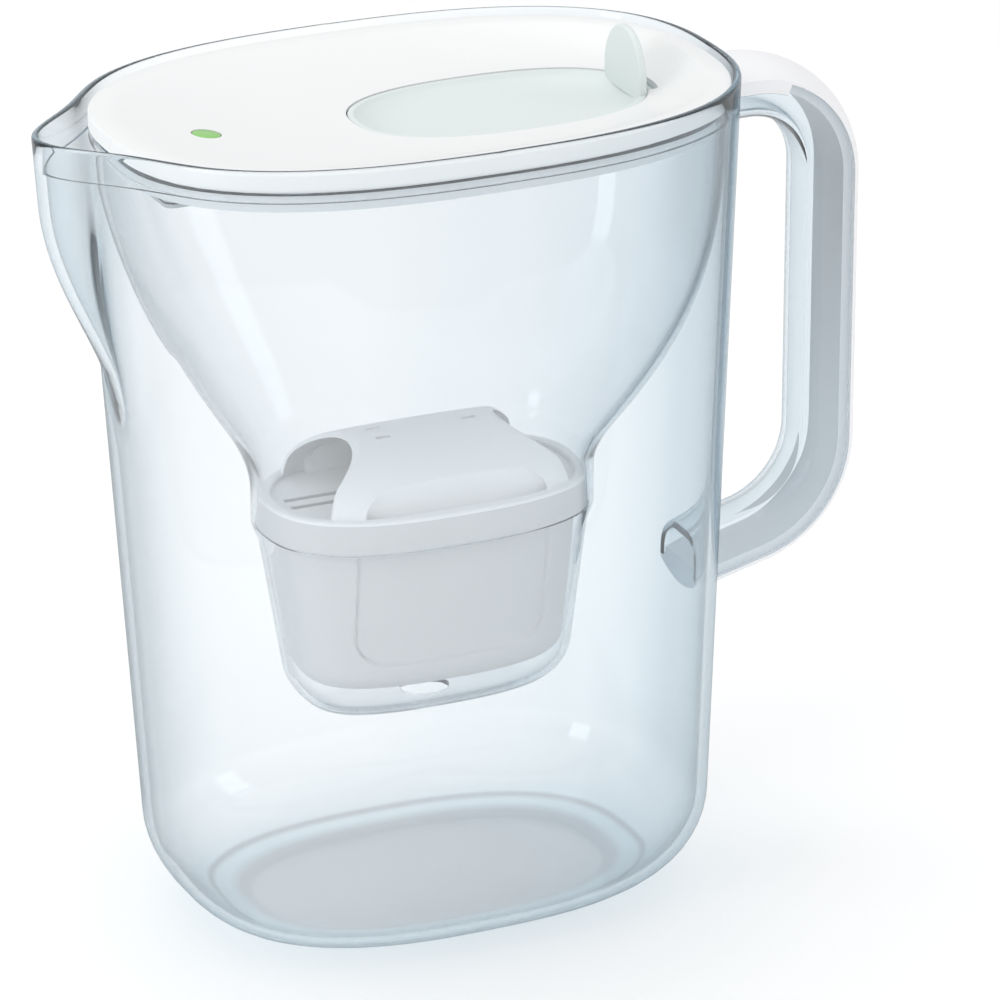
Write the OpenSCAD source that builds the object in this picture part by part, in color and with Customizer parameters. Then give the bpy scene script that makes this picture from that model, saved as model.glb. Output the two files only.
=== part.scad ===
// Water filter pitcher with a flip lid: a clear jug with a moulded spout and handle channel,
// a clear hopper that hangs in its mouth and carries the filter cartridge, and a dished lid
// with a hinged fill flap and a filter-change indicator.
// Frame: origin on the foot's plane below the centre of the mouth, +Z up, spout towards -X,
// handle towards +X.

/* [Jug] */
// Height of the rim above the foot
rim_h = 272; // [255:1:290]
// Length of the oval mouth, without the spout
rim_len = 208.3; // [200:0.1:216]
// Width of the oval mouth
rim_wid = 138.6; // [132:0.1:145]
// Length of the oval body, carried down to the foot
foot_len = 179.8; // [172:0.1:190]
// Width of the oval body, carried down to the foot
foot_wid = 132.8; // [126:0.1:138]
// How far the foot's centre lies towards the handle from the mouth's centre
foot_shift = 4.3; // [0:0.1:8]
// Squareness of the oval sections: 2 is an ellipse, more is squarer
oval_power = 2.55; // [2.2:0.05:3]
// Radius of the rounded heel between the walls and the foot
heel_r = 31; // [20:1:36]
// Wall thickness of the body
wall = 3.2; // [2.6:0.1:4]
// Wall thickness of the collar above the hopper's ledge
collar_wall = 2.2; // [1.6:0.1:2.4]

/* [Spout] */
// How far the tip stands out beyond the oval mouth
spout_reach = 20.2; // [14:0.1:26]
// Height of the spout, from the rim down to where it runs into the wall
spout_h = 80; // [60:1:100]
// Share of the spout's height over which its underside rounds out
spout_round = 0.72; // [0.5:0.01:1]
// Width factor of the rounded beak, in plan
spout_width = 4.6; // [3.8:0.1:5.4]
// Radius of the soft crease between the beak and the body
spout_crease = 3; // [1:0.5:6]

/* [Handle] */
// Width of the handle
handle_w = 29; // [24:0.5:34]
// How far the grip's seat on the upright stands from the mouth's centre
handle_reach = 148; // [140:0.5:156]
// Depth of the clear channel
channel_depth = 13.5; // [11:0.5:16]
// Radius of the channel's finger side corners
channel_corner = 9.5; // [6:0.5:11]
// Wall thickness of the channel
channel_wall = 2.4; // [2:0.1:3]
// How far the top bar's grip seat lies below the rim
handle_drop = 10.6; // [8:0.1:16]
// Radius of the top bend, at the grip's seat
top_bend_r = 35; // [28:0.5:40]
// Radius of the lower bend, at the grip's seat
low_bend_r = 38; // [32:0.5:42]
// Height of the lower bend's centre
low_bend_z = 136.5; // [125:0.5:150]
// Slope of the lower bar
low_bar_slope = 14; // [8:1:20]
// Crown of the soft grip above its seat
grip_crown = 5.5; // [4:0.1:7]
// Thickness of the grip at its edges
grip_edge = 1.2; // [0.8:0.1:2]
// Depth of the tongue that holds the grip in the channel
grip_tongue = 3; // [2:0.1:4]
// Clearance of the tongue in the channel
grip_gap = 0.2; // [0.1:0.05:0.3]
// Where the head's end seam lies on the top bend, from the top
head_turn = 20; // [10:1:30]

/* [Lid] */
// How far the lid's border lies below the rim
lid_drop = 2; // [1:0.1:4]
// Height of the lid's visible edge
lid_edge_h = 5; // [4:0.1:6]
// Clearance of the lid's edge in the collar
lid_gap = 0.5; // [0.3:0.1:0.8]
// Width of the flat border round the dish
lid_border = 6.5; // [4.5:0.1:8]
// Depth of the dish at the fill opening
dish_depth = 7.4; // [6.4:0.1:8]
// How the dish bends from the opening to the border
dish_power = 1.9; // [1.2:0.1:2.4]
// Thickness of the lid's cover
cover_t = 2; // [1.6:0.1:2.2]
// Thickness of the cover round the fill opening
cover_lip_t = 1.6; // [1.4:0.1:1.8]
// Thickness of the lid base's walls and floor
base_t = 1.8; // [1.5:0.1:2]
// Shadow gap between the lid's edge and the hopper's flange
shadow_gap = 1.4; // [1:0.1:2]

/* [Fill flap] */
// Length of the fill opening
flap_len = 98; // [90:0.5:104]
// Width of the fill opening
flap_wid = 56; // [50:0.5:60]
// Centre of the fill opening, from the mouth's centre
flap_x = 29.5; // [26:0.5:32]
// Squareness of the opening
flap_power = 2.4; // [2.1:0.05:2.8]
// Clearance of the flap in its opening
flap_gap = 0.4; // [0.3:0.05:0.6]
// Depth of the flap's dish
flap_dish = 4.4; // [3.4:0.1:4.6]
// Thickness of the flap's dish
flap_t = 1.6; // [1.3:0.1:1.8]
// Thickness of the flap's rim
flap_rim_t = 1.8; // [1.4:0.1:2]
// Height of the thumb fin's top above the flap's rim
fin_h = 19.4; // [14:0.1:22]
// Width of the thumb fin
fin_w = 26.4; // [20:0.2:27]
// Thickness of the thumb fin
fin_t = 2.6; // [2:0.1:3.2]
// Distance of the fin from the handle end of the opening
fin_inset = 5; // [4.5:0.1:6]
// Radius of the hinge pins moulded on the flap
pin_r = 1.1; // [1:0.05:1.2]
// Running clearance of the hinge pins
pin_gap = 0.05; // [0.03:0.01:0.08]
// Width of the flap's hinge neck
neck_w = 12; // [10:0.2:13]
// Distance of the hinge axis behind the fill opening
hinge_back = 3.1; // [3:0.05:3.4]
// Depth of the hinge axis below the edge of the dish
hinge_drop = 3.3; // [3.1:0.05:3.5]
// Width of the relief notch behind the flap
notch_w = 3.4; // [3.3:0.05:3.6]
// Half length of the relief notch, and half the distance between the hinge lugs
notch_half = 9; // [8:0.1:10]

/* [Indicator] */
// Distance of the indicator from the mouth's centre, towards the spout
indicator_x = 68.3; // [64:0.1:72]
// Radius of the indicator button
button_r = 4.5; // [3.8:0.1:5]
// Clearance of the button in its hole
button_gap = 0.25; // [0.2:0.05:0.3]
// Travel of the button
button_travel = 0.8; // [0.5:0.1:0.9]
// Length of the indicator case
case_len = 34; // [32:0.5:36]
// Width of the indicator case
case_wid = 25; // [24:0.5:27]
// Wall thickness of the indicator case
case_t = 1.2; // [1:0.1:1.4]
// Radius of the coin cell
cell_r = 10; // [9:0.5:10.2]
// Thickness of the coin cell
cell_t = 3.2; // [2.5:0.1:3.4]
// Thickness of the circuit board
board_t = 1; // [0.8:0.1:1.2]

/* [Hopper] */
// Thickness of the hopper's flange
flange_t = 2.4; // [2:0.1:3]
// Clearance of the flange in the collar
flange_gap = 0.5; // [0.45:0.05:0.7]
// Gap between the hopper's wall and the jug's wall below the ledge
hopper_gap = 0.8; // [0.5:0.1:1.2]
// Wall thickness of the hopper
hopper_wall = 2.2; // [1.8:0.1:2.4]
// Height of the neck, where the hopper meets its cartridge well
neck_z = 152; // [146:0.5:156]
// Height of the well's underside
well_z = 67.5; // [65:0.5:70]
// How much the well draws in at its ends per millimetre of depth
well_draft = 0.13; // [0.08:0.01:0.14]
// How much the well draws in at its sides per millimetre of depth
well_side_draft = 0.15; // [0.08:0.01:0.16]
// How much the well and the cartridge lean towards the handle per millimetre of depth
well_lean = 0.024; // [0:0.002:0.04]
// Centre of the well at its seat, from the mouth's centre
well_x = 3; // [1:0.1:5]
// Squareness of the well and the cartridge
well_power = 2.6; // [2.4:0.05:3]
// Radius of the well's lower edge
well_edge_r = 14.5; // [11:0.5:16]
// How quickly the hopper closes towards the spout (1 is straight)
front_curve = 1.65; // [1.4:0.05:2]
// How quickly the hopper closes towards the handle
back_curve = 2.9; // [2:0.1:3.1]
// How quickly the hopper closes at its sides
side_curve = 1.7; // [1.5:0.1:2.2]
// Radius of the outlet in the well's floor
outlet_r = 8; // [5:0.5:10]

/* [Cartridge] */
// Length of the cartridge's rim band
band_len = 105.4; // [103:0.2:107]
// Width of the cartridge's rim band
band_wid = 64; // [62:0.2:66]
// Height of the cartridge rim's lower edge, seated in the well
seat_z = 130.8; // [128:0.1:134]
// Width of the seat's step in the well
seat_step = 1.3; // [1.1:0.1:1.5]
// Height of the slope under the step, on the well's outside
seat_slope_h = 6; // [4:0.5:8]
// Clearance of the cartridge rim in the well
cartridge_gap = 0.4; // [0.3:0.05:0.5]
// Height of the cup's rim band
band_h = 10; // [9:0.1:12]
// Thickness of the cartridge's walls
cup_t = 1.5; // [1.2:0.1:1.8]
// How far the rim band stands out from the cup
band_out = 3.9; // [3.4:0.1:4.4]
// How much the cup draws in per millimetre of depth
cup_draft = 0.09; // [0.05:0.01:0.1]
// Depth of the panels pressed into the cup's long sides
panel_depth = 0.5; // [0.3:0.1:0.7]
// Height of the cup's underside above the hopper's underside
cup_lift = 11.5; // [9:0.5:13]
// Radius of the cup's lower edge
cup_edge_r = 8; // [5:0.5:9]
// Height of the hood above the cap's plate
hood_h = 19.6; // [17:0.1:22]
// Length of the hood's top
hood_top_len = 53; // [48:0.5:58]
// Length of the hood at its foot
hood_foot_len = 74; // [68:0.5:78]
// Width of the hood at its foot
hood_wid = 52; // [48:0.5:53]
// Thickness of the hood
hood_t = 1.6; // [1.3:0.1:2]
// Thickness of the cap's plate
plate_t = 1.6; // [1.3:0.1:2]
// Depth of the cap's plate below the top of its rim
plate_drop = 1.6; // [1:0.1:2.2]
// Width of the inlet slots in the cap
inlet_w = 2.4; // [1.6:0.1:3]
// Width of the outlet slots in the cup's ends
outlet_w = 3; // [2:0.1:4]
// Thickness of the inlet screen
screen_t = 2; // [1.5:0.1:2.5]

/* [Hidden] */
$fn = 64;
eps = 0.01;

clear_tint = [0.80, 0.87, 0.90, 0.35];

// ---- Heights of the stack in the mouth, from the rim down
lid_top_z = rim_h - lid_drop;
lid_edge_z = lid_top_z - lid_edge_h;
flange_top_z = lid_edge_z - shadow_gap;
ledge_z = flange_top_z - flange_t;

// ---- The jug's body: its half length, half width and centre at a height
function body_a(z) = (foot_len + (rim_len - foot_len) * z / rim_h) / 2;
function body_b(z) = (foot_wid + (rim_wid - foot_wid) * z / rim_h) / 2;
function body_x(z) = foot_shift * (1 - z / rim_h);

// ---- Ovals: the points of a superellipse, counter-clockwise from its +X end
function bow(v, power) = sign(v) * pow(abs(v), 2 / power);
function oval(a, b, power, x, count) = [
    for (i = [0 : count - 1]) let (t = 360 * i / count)
        [x + a * bow(cos(t), power), b * bow(sin(t), power)]];
function lift(outline, z) = [for (p = outline) [p[0], p[1], z]];
function mix(from, to, s) = [for (i = [0 : len(from) - 1]) from[i] * (1 - s) + to[i] * s];

// The inside of the collar, drawn in by an inset: everything in the mouth follows it
mouth_a = body_a(ledge_z) - collar_wall;
mouth_b = body_b(ledge_z) - collar_wall;
mouth_x = body_x(ledge_z);
mouth_points = 56;
function mouth(inset) =
    oval(mouth_a - inset, mouth_b - inset, oval_power, mouth_x, mouth_points);

// ---- Skins: a closed solid through a list of rings with as many points each
function ring_faces(j, k, n) = [
    for (i = [0 : n - 1]) let (m = (i + 1) % n)
        each [[j * n + i, k * n + i, k * n + m], [j * n + i, k * n + m, j * n + m]]];
module skin(rings) {
    n = len(rings[0]);
    last = len(rings) - 1;
    polyhedron(
        points = [for (ring = rings) each ring],
        faces = [
            [for (i = [0 : n - 1]) i],
            for (j = [0 : last - 1]) each ring_faces(j, j + 1, n),
            [for (i = [n - 1 : -1 : 0]) last * n + i]],
        convexity = 6);
}
module ring_skin(rings) {
    n = len(rings[0]);
    m = len(rings);
    polyhedron(
        points = [for (ring = rings) each ring],
        faces = [for (j = [0 : m - 1]) each ring_faces(j, (j + 1) % m, n)],
        convexity = 6);
}

// ---- Jug outline: the oval body with the beak of the spout grown out of it
jug_points = 72;
spout_crowding = 28;
function jug_turn(i) = let (t = 360 * i / jug_points) t - spout_crowding * sin(t);
function oval_radius(a, b, turn) =
    pow(pow(abs(cos(turn)) / a, oval_power) + pow(abs(sin(turn)) / b, oval_power), -1 / oval_power);
// The beak is a parabola in plan, y * y = width * width * (x - tip)
function beak_radius(tip, width, turn) =
    let (s = max(sin(turn) * sin(turn), 1e-6), c = cos(turn), w = width * width)
        c <= 0 ? 0 : (sqrt(w * w * c * c + 4 * s * w * tip) - w * c) / (2 * s);
function soft_max(p, q, soft) =
    let (h = max(soft - abs(p - q), 0) / soft) max(p, q) + h * h * soft / 4;
// Reach of the tip beyond the oval at a height: rounded out below, full above
function beak_reach(z) =
    let (u = (z - rim_h + spout_h) / (spout_h * spout_round))
        u <= 0 ? 0 : spout_reach * sin(90 * min(u, 1));
function jug_ring(z, body_inset, beak_inset) = [
    for (i = [0 : jug_points - 1])
        let (
            turn = jug_turn(i),
            x = body_x(z),
            round_r = oval_radius(body_a(z) - body_inset, body_b(z) - body_inset, turn),
            tip = body_a(z) + beak_reach(z) - beak_inset,
            narrowing = 1 - beak_inset / (2 * spout_reach),
            beak_r = beak_reach(z) > 0 ? beak_radius(tip, spout_width * narrowing, turn) : 0,
            r = soft_max(round_r, beak_r, spout_crease))
        [x - r * cos(turn), -r * sin(turn), z]];

rim_round = 0.7;
heel_steps = 5;
spout_rings = [for (u = [0, 0.08, 0.16, 0.25, 0.35, 0.47, 0.62, 0.8]) rim_h - spout_h * (1 - u)];
function heel_ring(step, inset) =
    let (turn = 90 * step / heel_steps, r = heel_r - inset)
        jug_ring(heel_r - r * cos(turn), inset + r * (1 - sin(turn)), 0);

module jug() {
    outside = concat(
        [for (i = [0 : heel_steps]) heel_ring(i, 0)],
        [for (z = spout_rings) jug_ring(z, 0, 0)],
        [jug_ring(rim_h - rim_round, 0, 0), jug_ring(rim_h, rim_round, rim_round)]);
    inside = concat(
        [jug_ring(rim_h, collar_wall - rim_round, collar_wall - rim_round),
            jug_ring(rim_h - rim_round, collar_wall, collar_wall),
            jug_ring(ledge_z, collar_wall, collar_wall),
            jug_ring(ledge_z, wall, collar_wall)],
        [for (i = [len(spout_rings) - 1 : -1 : 0])
            if (spout_rings[i] < ledge_z - 3) jug_ring(spout_rings[i], wall, collar_wall)],
        [for (i = [heel_steps : -1 : 0]) heel_ring(i, wall)]);
    color(clear_tint) skin(concat(outside, inside));
}

// The outside of the jug's wall, which the ends of the handle are cut to
module jug_wall_outside() {
    skin([jug_ring(2 * heel_r, 0, 0), jug_ring(rim_h, 0, 0)]);
}

// ---- Handle: each station is [x, z, turn], from the lower bar's root up to the top bar's
bend_steps = 8;
bar_root = 60;
head_seam = 0.5;
side_h = channel_depth - channel_corner;
side_y = handle_w / 2 - channel_corner;
// The grip's head takes up most of the channel's straight side
head_share = 0.9;
head_depth = head_share * side_h;
function bend_station(r, z, turn) = [handle_reach + r * (cos(turn) - 1), z + r * sin(turn), turn];
top_bend_z = rim_h - handle_drop - top_bend_r;
low_end = bend_station(low_bend_r, low_bend_z, low_bar_slope - 90);
lower_run = concat(
    [[bar_root, low_end[1] - (low_end[0] - bar_root) * tan(low_bar_slope), low_end[2]]],
    [for (i = [0 : bend_steps]) bend_station(low_bend_r, low_bend_z, low_end[2] * (1 - i / bend_steps))],
    [for (i = [0 : bend_steps]) bend_station(top_bend_r, top_bend_z, (90 - head_turn) * i / bend_steps)]);
upper_run = concat(
    [for (turn = [90 - head_turn + head_seam, 90 - head_turn / 2, 90])
        bend_station(top_bend_r, top_bend_z, turn)],
    [[bar_root, rim_h - handle_drop, 90]]);

// Sections are drawn as [v, u], v outwards from the grip's seat and u across the handle
function placed(section, station) = [for (p = section)
    [station[0] + p[0] * cos(station[2]), p[1], station[1] + p[0] * sin(station[2])]];
function arc(x, y, r, from, to, steps) = [
    for (i = [0 : steps]) let (t = from + (to - from) * i / steps)
        [x + r * cos(t), y + r * sin(t)]];
function both_sides(half) = concat(half, [for (i = [len(half) - 1 : -1 : 0]) [half[i][0], -half[i][1]]]);

// A channel that is open outwards, with two round corners at its finger side
function channel_section(foot) = concat(
    both_sides(concat([[-foot, handle_w / 2]], arc(-side_h, side_y, channel_corner, 90, 180, 5))),
    both_sides(concat([[-foot - grip_gap / 2, channel_wall - handle_w / 2]],
        arc(-side_h, -side_y, channel_corner - channel_wall, 270, 180, 4))));
// The crowned strip of the grip, with a tongue in the channel below its seat
crown_sagitta = grip_crown - grip_edge;
crown_r = (handle_w * handle_w / 4 + crown_sagitta * crown_sagitta) / (2 * crown_sagitta);
crown_turn = asin(handle_w / 2 / crown_r);
tongue_y = handle_w / 2 - channel_wall - grip_gap;
function grip_section(seat, depth) = concat(
    arc(grip_crown - crown_r, 0, crown_r, -crown_turn, crown_turn, 8),
    both_sides([[-seat, handle_w / 2], [grip_gap / 2 - seat, tongue_y], [-depth, tongue_y - grip_gap]]));
module handle_skin(tail, head) {
    skin(concat(
        [for (station = lower_run) placed(tail, station)],
        [for (station = upper_run) placed(head, station)]));
}
module handle_frame() {
    color(clear_tint)
        difference() {
            handle_skin(channel_section(0), channel_section(head_depth));
            jug_wall_outside();
        }
}
module handle_grip() {
    color("white")
        difference() {
            handle_skin(grip_section(0, grip_tongue), grip_section(head_depth, head_depth + grip_gap));
            jug_wall_outside();
        }
}

// ---- Lid
dish_z = lid_top_z - dish_depth;
opening_a = flap_len / 2;
opening_b = flap_wid / 2;
function opening(inset) =
    oval(opening_a - inset, opening_b - inset, flap_power, flap_x, mouth_points);
function dish_height(s) = dish_z + dish_depth * pow(1 - s, dish_power);
dish_steps = 4;
edge_soft = 0.7;
border_in = lid_gap + lid_border;
cover_wall_in = lid_gap + cover_t;

module lid_cover() {
    over = [for (i = [0 : dish_steps])
        let (s = i / dish_steps) lift(mix(mouth(border_in), opening(0), s), dish_height(s))];
    under = [for (i = [dish_steps : -1 : 0])
        let (s = i / dish_steps, t = cover_t + (cover_lip_t - cover_t) * s)
            lift(mix(mouth(border_in), opening(0), s), dish_height(s) - t)];
    color("white")
        difference() {
            ring_skin(concat(
                [lift(mouth(lid_gap), lid_edge_z),
                    lift(mouth(lid_gap), lid_top_z - edge_soft),
                    lift(mouth(lid_gap + edge_soft), lid_top_z)],
                over, under,
                [lift(mouth(cover_wall_in), lid_top_z - cover_t),
                    lift(mouth(cover_wall_in), lid_edge_z)]));
            translate([-indicator_x, 0, dish_z])
                cylinder(r = button_r + button_gap, h = dish_depth + cover_t);
            hinge_notch(dish_z - cover_t, dish_depth);
        }
}
// The crescent behind the flap, through which its neck rises as it opens
module hinge_notch(z, h) {
    translate([notch_w, 0, z])
        linear_extrude(h)
            intersection() {
                polygon(opening(0));
                translate([flap_x, -notch_half])
                    square([opening_a, 2 * notch_half]);
            }
}

// ---- Flap and its hinge
flap_drop = 0.2;
flap_top_z = dish_z - flap_drop;
rim_under_z = flap_top_z - flap_rim_t;
flap_a = opening_a - flap_gap;
flap_b = opening_b - flap_gap;
flap_points = 40;
rim_draft = 1;
rim_land = 1.8;
rim_corner = 0.3;
rim_foot = 1;
// The flap's bowl: how far in from its edge, and what share of the dish's depth is left there
flap_bowl = [[rim_land + 2, 0.64], [8, 0.24], [13, 0.05], [20, 0]];
fin_shoulder = 0.19;
hinge_x = flap_x + opening_a + hinge_back;
hinge_z = dish_z - hinge_drop;
lug_t = 3.6;
lug_r = 1.9;
neck_low = 1.4;
neck_high = 0.3;
neck_len = 10;
function flap_ring(inset, z) =
    lift(oval(flap_a - inset, flap_b - inset, flap_power, flap_x, flap_points), z);

module fill_flap() {
    floor_z = flap_top_z - flap_dish;
    neck_root_x = hinge_x - neck_len;
    under = [for (i = [len(flap_bowl) - 1 : -1 : 1])
        flap_ring(flap_bowl[i][0] - flap_t / 3, floor_z - flap_t + flap_dish * flap_bowl[i][1])];
    over = [for (p = flap_bowl) flap_ring(p[0], floor_z + flap_dish * p[1])];
    color([0.90, 0.93, 0.92]) {
        skin(concat(
            under,
            [flap_ring(rim_land + 2 * rim_foot, rim_under_z - rim_foot),
                flap_ring(rim_land + rim_foot, rim_under_z),
                flap_ring(rim_draft, rim_under_z),
                flap_ring(0, flap_top_z - rim_corner),
                flap_ring(rim_corner, flap_top_z),
                flap_ring(rim_land, flap_top_z)],
            over));
        fin();
        translate([neck_root_x, -neck_w / 2, hinge_z - neck_low])
            cube([hinge_x - neck_root_x, neck_w, neck_low + neck_high]);
        translate([hinge_x, 0, hinge_z])
            rotate([90, 0, 0]) {
                cylinder(r = neck_low, h = neck_w, center = true);
                cylinder(r = pin_r, h = 2 * (notch_half + lug_t), center = true);
            }
    }
}
// The upright thumb fin: straight sides that close in half an ellipse
module fin() {
    shoulder_z = flap_top_z + fin_h * fin_shoulder;
    round_h = flap_top_z + fin_h - shoulder_z;
    arc_steps = 24;
    translate([flap_x + opening_a - fin_inset, 0, 0])
        rotate([90, 0, -90])
            linear_extrude(fin_t, center = true)
                polygon(concat(
                    [[-fin_w / 2, rim_under_z + rim_foot], [0, hinge_z],
                        [fin_w / 2, rim_under_z + rim_foot]],
                    [for (i = [0 : arc_steps]) let (t = 180 * i / arc_steps)
                        [fin_w / 2 * cos(t), shoulder_z + round_h * sin(t)]]));
}

// ---- Lid base: a locating wall, a floor, the flap's seat, the hinge lugs and the case opening
seat_h = 1.4;
floor_top_z = rim_under_z - seat_h;
floor_z = floor_top_z - base_t;
wall_fit = 0.2;
wall_in = cover_wall_in + wall_fit;
flange_in = wall - collar_wall + hopper_gap + hopper_wall;
lip_fit = 0.6;
lip_in = flange_in + lip_fit;
seat_in = 2.4;
seat_out = 1.8;
seat_gap = 0.1;
relief_reach = 2.5;
module oval_band(outer, inner, z, h) {
    translate([0, 0, z])
        linear_extrude(h)
            difference() {
                polygon(outer);
                polygon(inner);
            }
}
module lid_base() {
    wall_top_z = lid_top_z - cover_t;
    seat_top_z = rim_under_z - seat_gap;
    color("white")
        difference() {
            union() {
                oval_band(mouth(wall_in), mouth(wall_in + base_t), flange_top_z, wall_top_z - flange_top_z);
                oval_band(mouth(wall_in), mouth(lip_in + base_t), flange_top_z, base_t);
                oval_band(mouth(lip_in), mouth(lip_in + base_t), floor_z, flange_top_z + eps - floor_z);
                oval_band(mouth(lip_in), opening(seat_in), floor_z, base_t);
                oval_band(opening(-seat_out), opening(seat_in), floor_z, seat_top_z - floor_z);
                for (side = [-1, 1])
                    hinge_lug(side * (notch_half + lug_t / 2));
            }
            hinge_relief();
            translate([hinge_x, 0, hinge_z])
                rotate([90, 0, 0])
                    cylinder(r = pin_r + pin_gap, h = 4 * notch_half, center = true);
            case_block(-case_fit, floor_z - 1, base_t + 2);
        }
}
module hinge_lug(y) {
    translate([hinge_x, y, hinge_z])
        rotate([90, 0, 0])
            cylinder(r = lug_r, h = lug_t, center = true);
    translate([hinge_x - lug_r, y - lug_t / 2, floor_z])
        cube([2 * lug_r, lug_t, hinge_z - floor_z]);
}
// Room for the neck of the flap, through the floor and the flap's seat
module hinge_relief() {
    relief_x = flap_x + opening_a - seat_in - relief_reach;
    translate([relief_x, -notch_half, floor_z - 1])
        cube([hinge_x + 2 * lug_r - relief_x, 2 * notch_half, dish_z - floor_z]);
}

// ---- Indicator: a case under the dish with a button, a board, a coin cell and a sealed cover
case_corner = 3;
case_fit = 0.2;
case_ledge = 2.2;
case_flange_t = 1;
case_roof_z = floor_top_z + case_flange_t;
case_top_z = case_roof_z + case_t;
button_head_r = button_r + 1.5;
button_low_z = case_roof_z - case_flange_t;
switch_slack = 0.1;
switch_top_z = button_low_z - button_travel - switch_slack;
switch_h = 1.7;
board_top_z = switch_top_z - switch_h;
board_z = board_top_z - board_t;
contact_t = 0.6;
cell_top_z = board_z - contact_t;
cell_z = cell_top_z - cell_t;
boss_h = 2;
case_cover_top_z = cell_z - boss_h;
seal_t = 0.6;
case_low_z = case_cover_top_z + seal_t;
post_r = 1.2;

// A block with the case's rounded rectangular outline, drawn in by an inset
module case_block(inset, z, h) {
    corner = case_corner - inset;
    translate([-indicator_x, 0, z])
        for (turn = [0, 1])
            linear_extrude(h)
                square([case_len - 2 * inset - 2 * corner * turn, case_wid - 2 * inset - 2 * corner * (1 - turn)],
                    center = true);
    for (sx = [-1, 1], sy = [-1, 1])
        translate([sx * (case_len / 2 - case_corner) - indicator_x, sy * (case_wid / 2 - case_corner), z])
            cylinder(r = corner, h = h);
}
module indicator_case() {
    color([0.75, 0.77, 0.79]) {
        difference() {
            union() {
                case_block(-case_ledge, floor_top_z, case_flange_t);
                case_block(0, case_low_z, case_top_z - case_low_z);
            }
            case_block(case_t, case_low_z - 1, case_roof_z - case_low_z + 1);
            translate([-indicator_x, 0, case_roof_z - 1])
                cylinder(r = button_r + button_gap, h = case_t + 2);
        }
        for (sx = [-1, 1], sy = [-1, 1])
            translate([sx * (case_len / 2 - case_corner) - indicator_x,
                sy * (case_wid / 2 - case_corner), board_top_z])
                cylinder(r = post_r, h = case_roof_z - board_top_z + eps);
    }
}
// The button's face follows the slope of the dish
module indicator_button() {
    run = mouth_a - border_in - mouth_x - opening_a + flap_x;
    s = (indicator_x - opening_a + flap_x) / run;
    face_z = dish_z + dish_depth * pow(s, dish_power);
    tilt = atan(dish_depth * dish_power * pow(s, dish_power - 1) / run);
    color([0.45, 0.78, 0.40])
        translate([-indicator_x, 0, 0])
            difference() {
                union() {
                    translate([0, 0, button_low_z])
                        cylinder(r = button_head_r, h = case_flange_t);
                    translate([0, 0, button_low_z])
                        cylinder(r = button_r, h = face_z - button_low_z + 1);
                }
                translate([0, 0, face_z])
                    rotate([0, tilt, 0])
                        translate([0, 0, case_flange_t])
                            cube([4 * button_r, 4 * button_r, 2 * case_flange_t], center = true);
            }
}
module circuit_board() {
    margin = case_t + case_fit;
    color([0.10, 0.35, 0.20])
        case_block(margin, board_z, board_t);
}
module button_switch() {
    body_w = 4.5;
    plunger_r = 1.2;
    plunger_h = 0.5;
    color([0.15, 0.15, 0.15])
        translate([-indicator_x, 0, board_top_z]) {
            translate([-body_w / 2, -body_w / 2, 0])
                cube([body_w, body_w, switch_h - plunger_h]);
            cylinder(r = plunger_r, h = switch_h);
        }
}
module indicator_led() {
    led_x = 4.6;
    led_w = 1.6;
    led_base_h = 0.6;
    led_h = 1;
    color([0.85, 0.95, 0.80])
        translate([led_x - indicator_x, 0, board_top_z]) {
            translate([-led_w / 2, -led_w / 2, 0])
                cube([led_w, led_w, led_base_h]);
            cylinder(r = led_base_h, h = led_h);
        }
}
module battery_contacts() {
    strip_w = 5;
    strip_half = cell_r - 2;
    color([0.80, 0.78, 0.70])
        translate([-indicator_x, 0, cell_top_z])
            for (turn = [0, 90])
                rotate([0, 0, turn])
                    translate([-strip_half, -strip_w / 2, 0])
                        cube([2 * strip_half, strip_w, contact_t]);
}
module battery_cell() {
    can_h = 0.8 * cell_t;
    step_w = 1.2;
    color([0.75, 0.76, 0.78])
        translate([-indicator_x, 0, cell_z]) {
            cylinder(r = cell_r, h = can_h);
            cylinder(r = cell_r - step_w, h = cell_t);
        }
}
module case_seal() {
    color([0.25, 0.25, 0.27])
        difference() {
            case_block(0, case_cover_top_z, seal_t);
            case_block(case_t, case_cover_top_z - 1, seal_t + 2);
        }
}
module case_cover() {
    boss_r = 0.8 * cell_r;
    boss_wall = 1.6;
    groove_w = 1.5;
    groove_len = 6;
    groove_depth = 0.6;
    groove_in = 5;
    color([0.70, 0.72, 0.75]) {
        difference() {
            case_block(0, case_cover_top_z - case_t, case_t);
            translate([case_len / 2 - groove_in - indicator_x, -groove_len / 2,
                case_cover_top_z - case_t - 1])
                cube([groove_w, groove_len, groove_depth + 1]);
        }
        translate([-indicator_x, 0, case_cover_top_z - eps])
            difference() {
                cylinder(r = boss_r, h = boss_h + eps);
                translate([0, 0, -1])
                    cylinder(r = boss_r - boss_wall, h = boss_h + 2);
            }
    }
}

// ---- Hopper: a flange, a body that closes down to a neck, and the well of the cartridge
band_a = band_len / 2;
band_b = band_wid / 2;
well_a = band_a + cartridge_gap + hopper_wall;
well_b = band_b + cartridge_gap + hopper_wall;
hopper_top_a = mouth_a - flange_in + hopper_wall;
hopper_top_b = mouth_b - flange_in + hopper_wall;
well_steps = 4;
flare_steps = 6;
function flare(top, low, power, z) =
    low + (top - low) * (1 - pow(1 - (z - neck_z) / (ledge_z - neck_z), power));
function hopper_ring(z, inset) =
    let (
        s = (z - neck_z) / (ledge_z - neck_z),
        back = flare(mouth_x + hopper_top_a, well_x + well_a, back_curve, z),
        front = flare(mouth_x - hopper_top_a, well_x - well_a, front_curve, z),
        side = flare(hopper_top_b, well_b, side_curve, z),
        power = well_power + (oval_power - well_power) * s)
    lift(oval((back - front) / 2 - inset, side - inset, power, (back + front) / 2, mouth_points), z);
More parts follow.
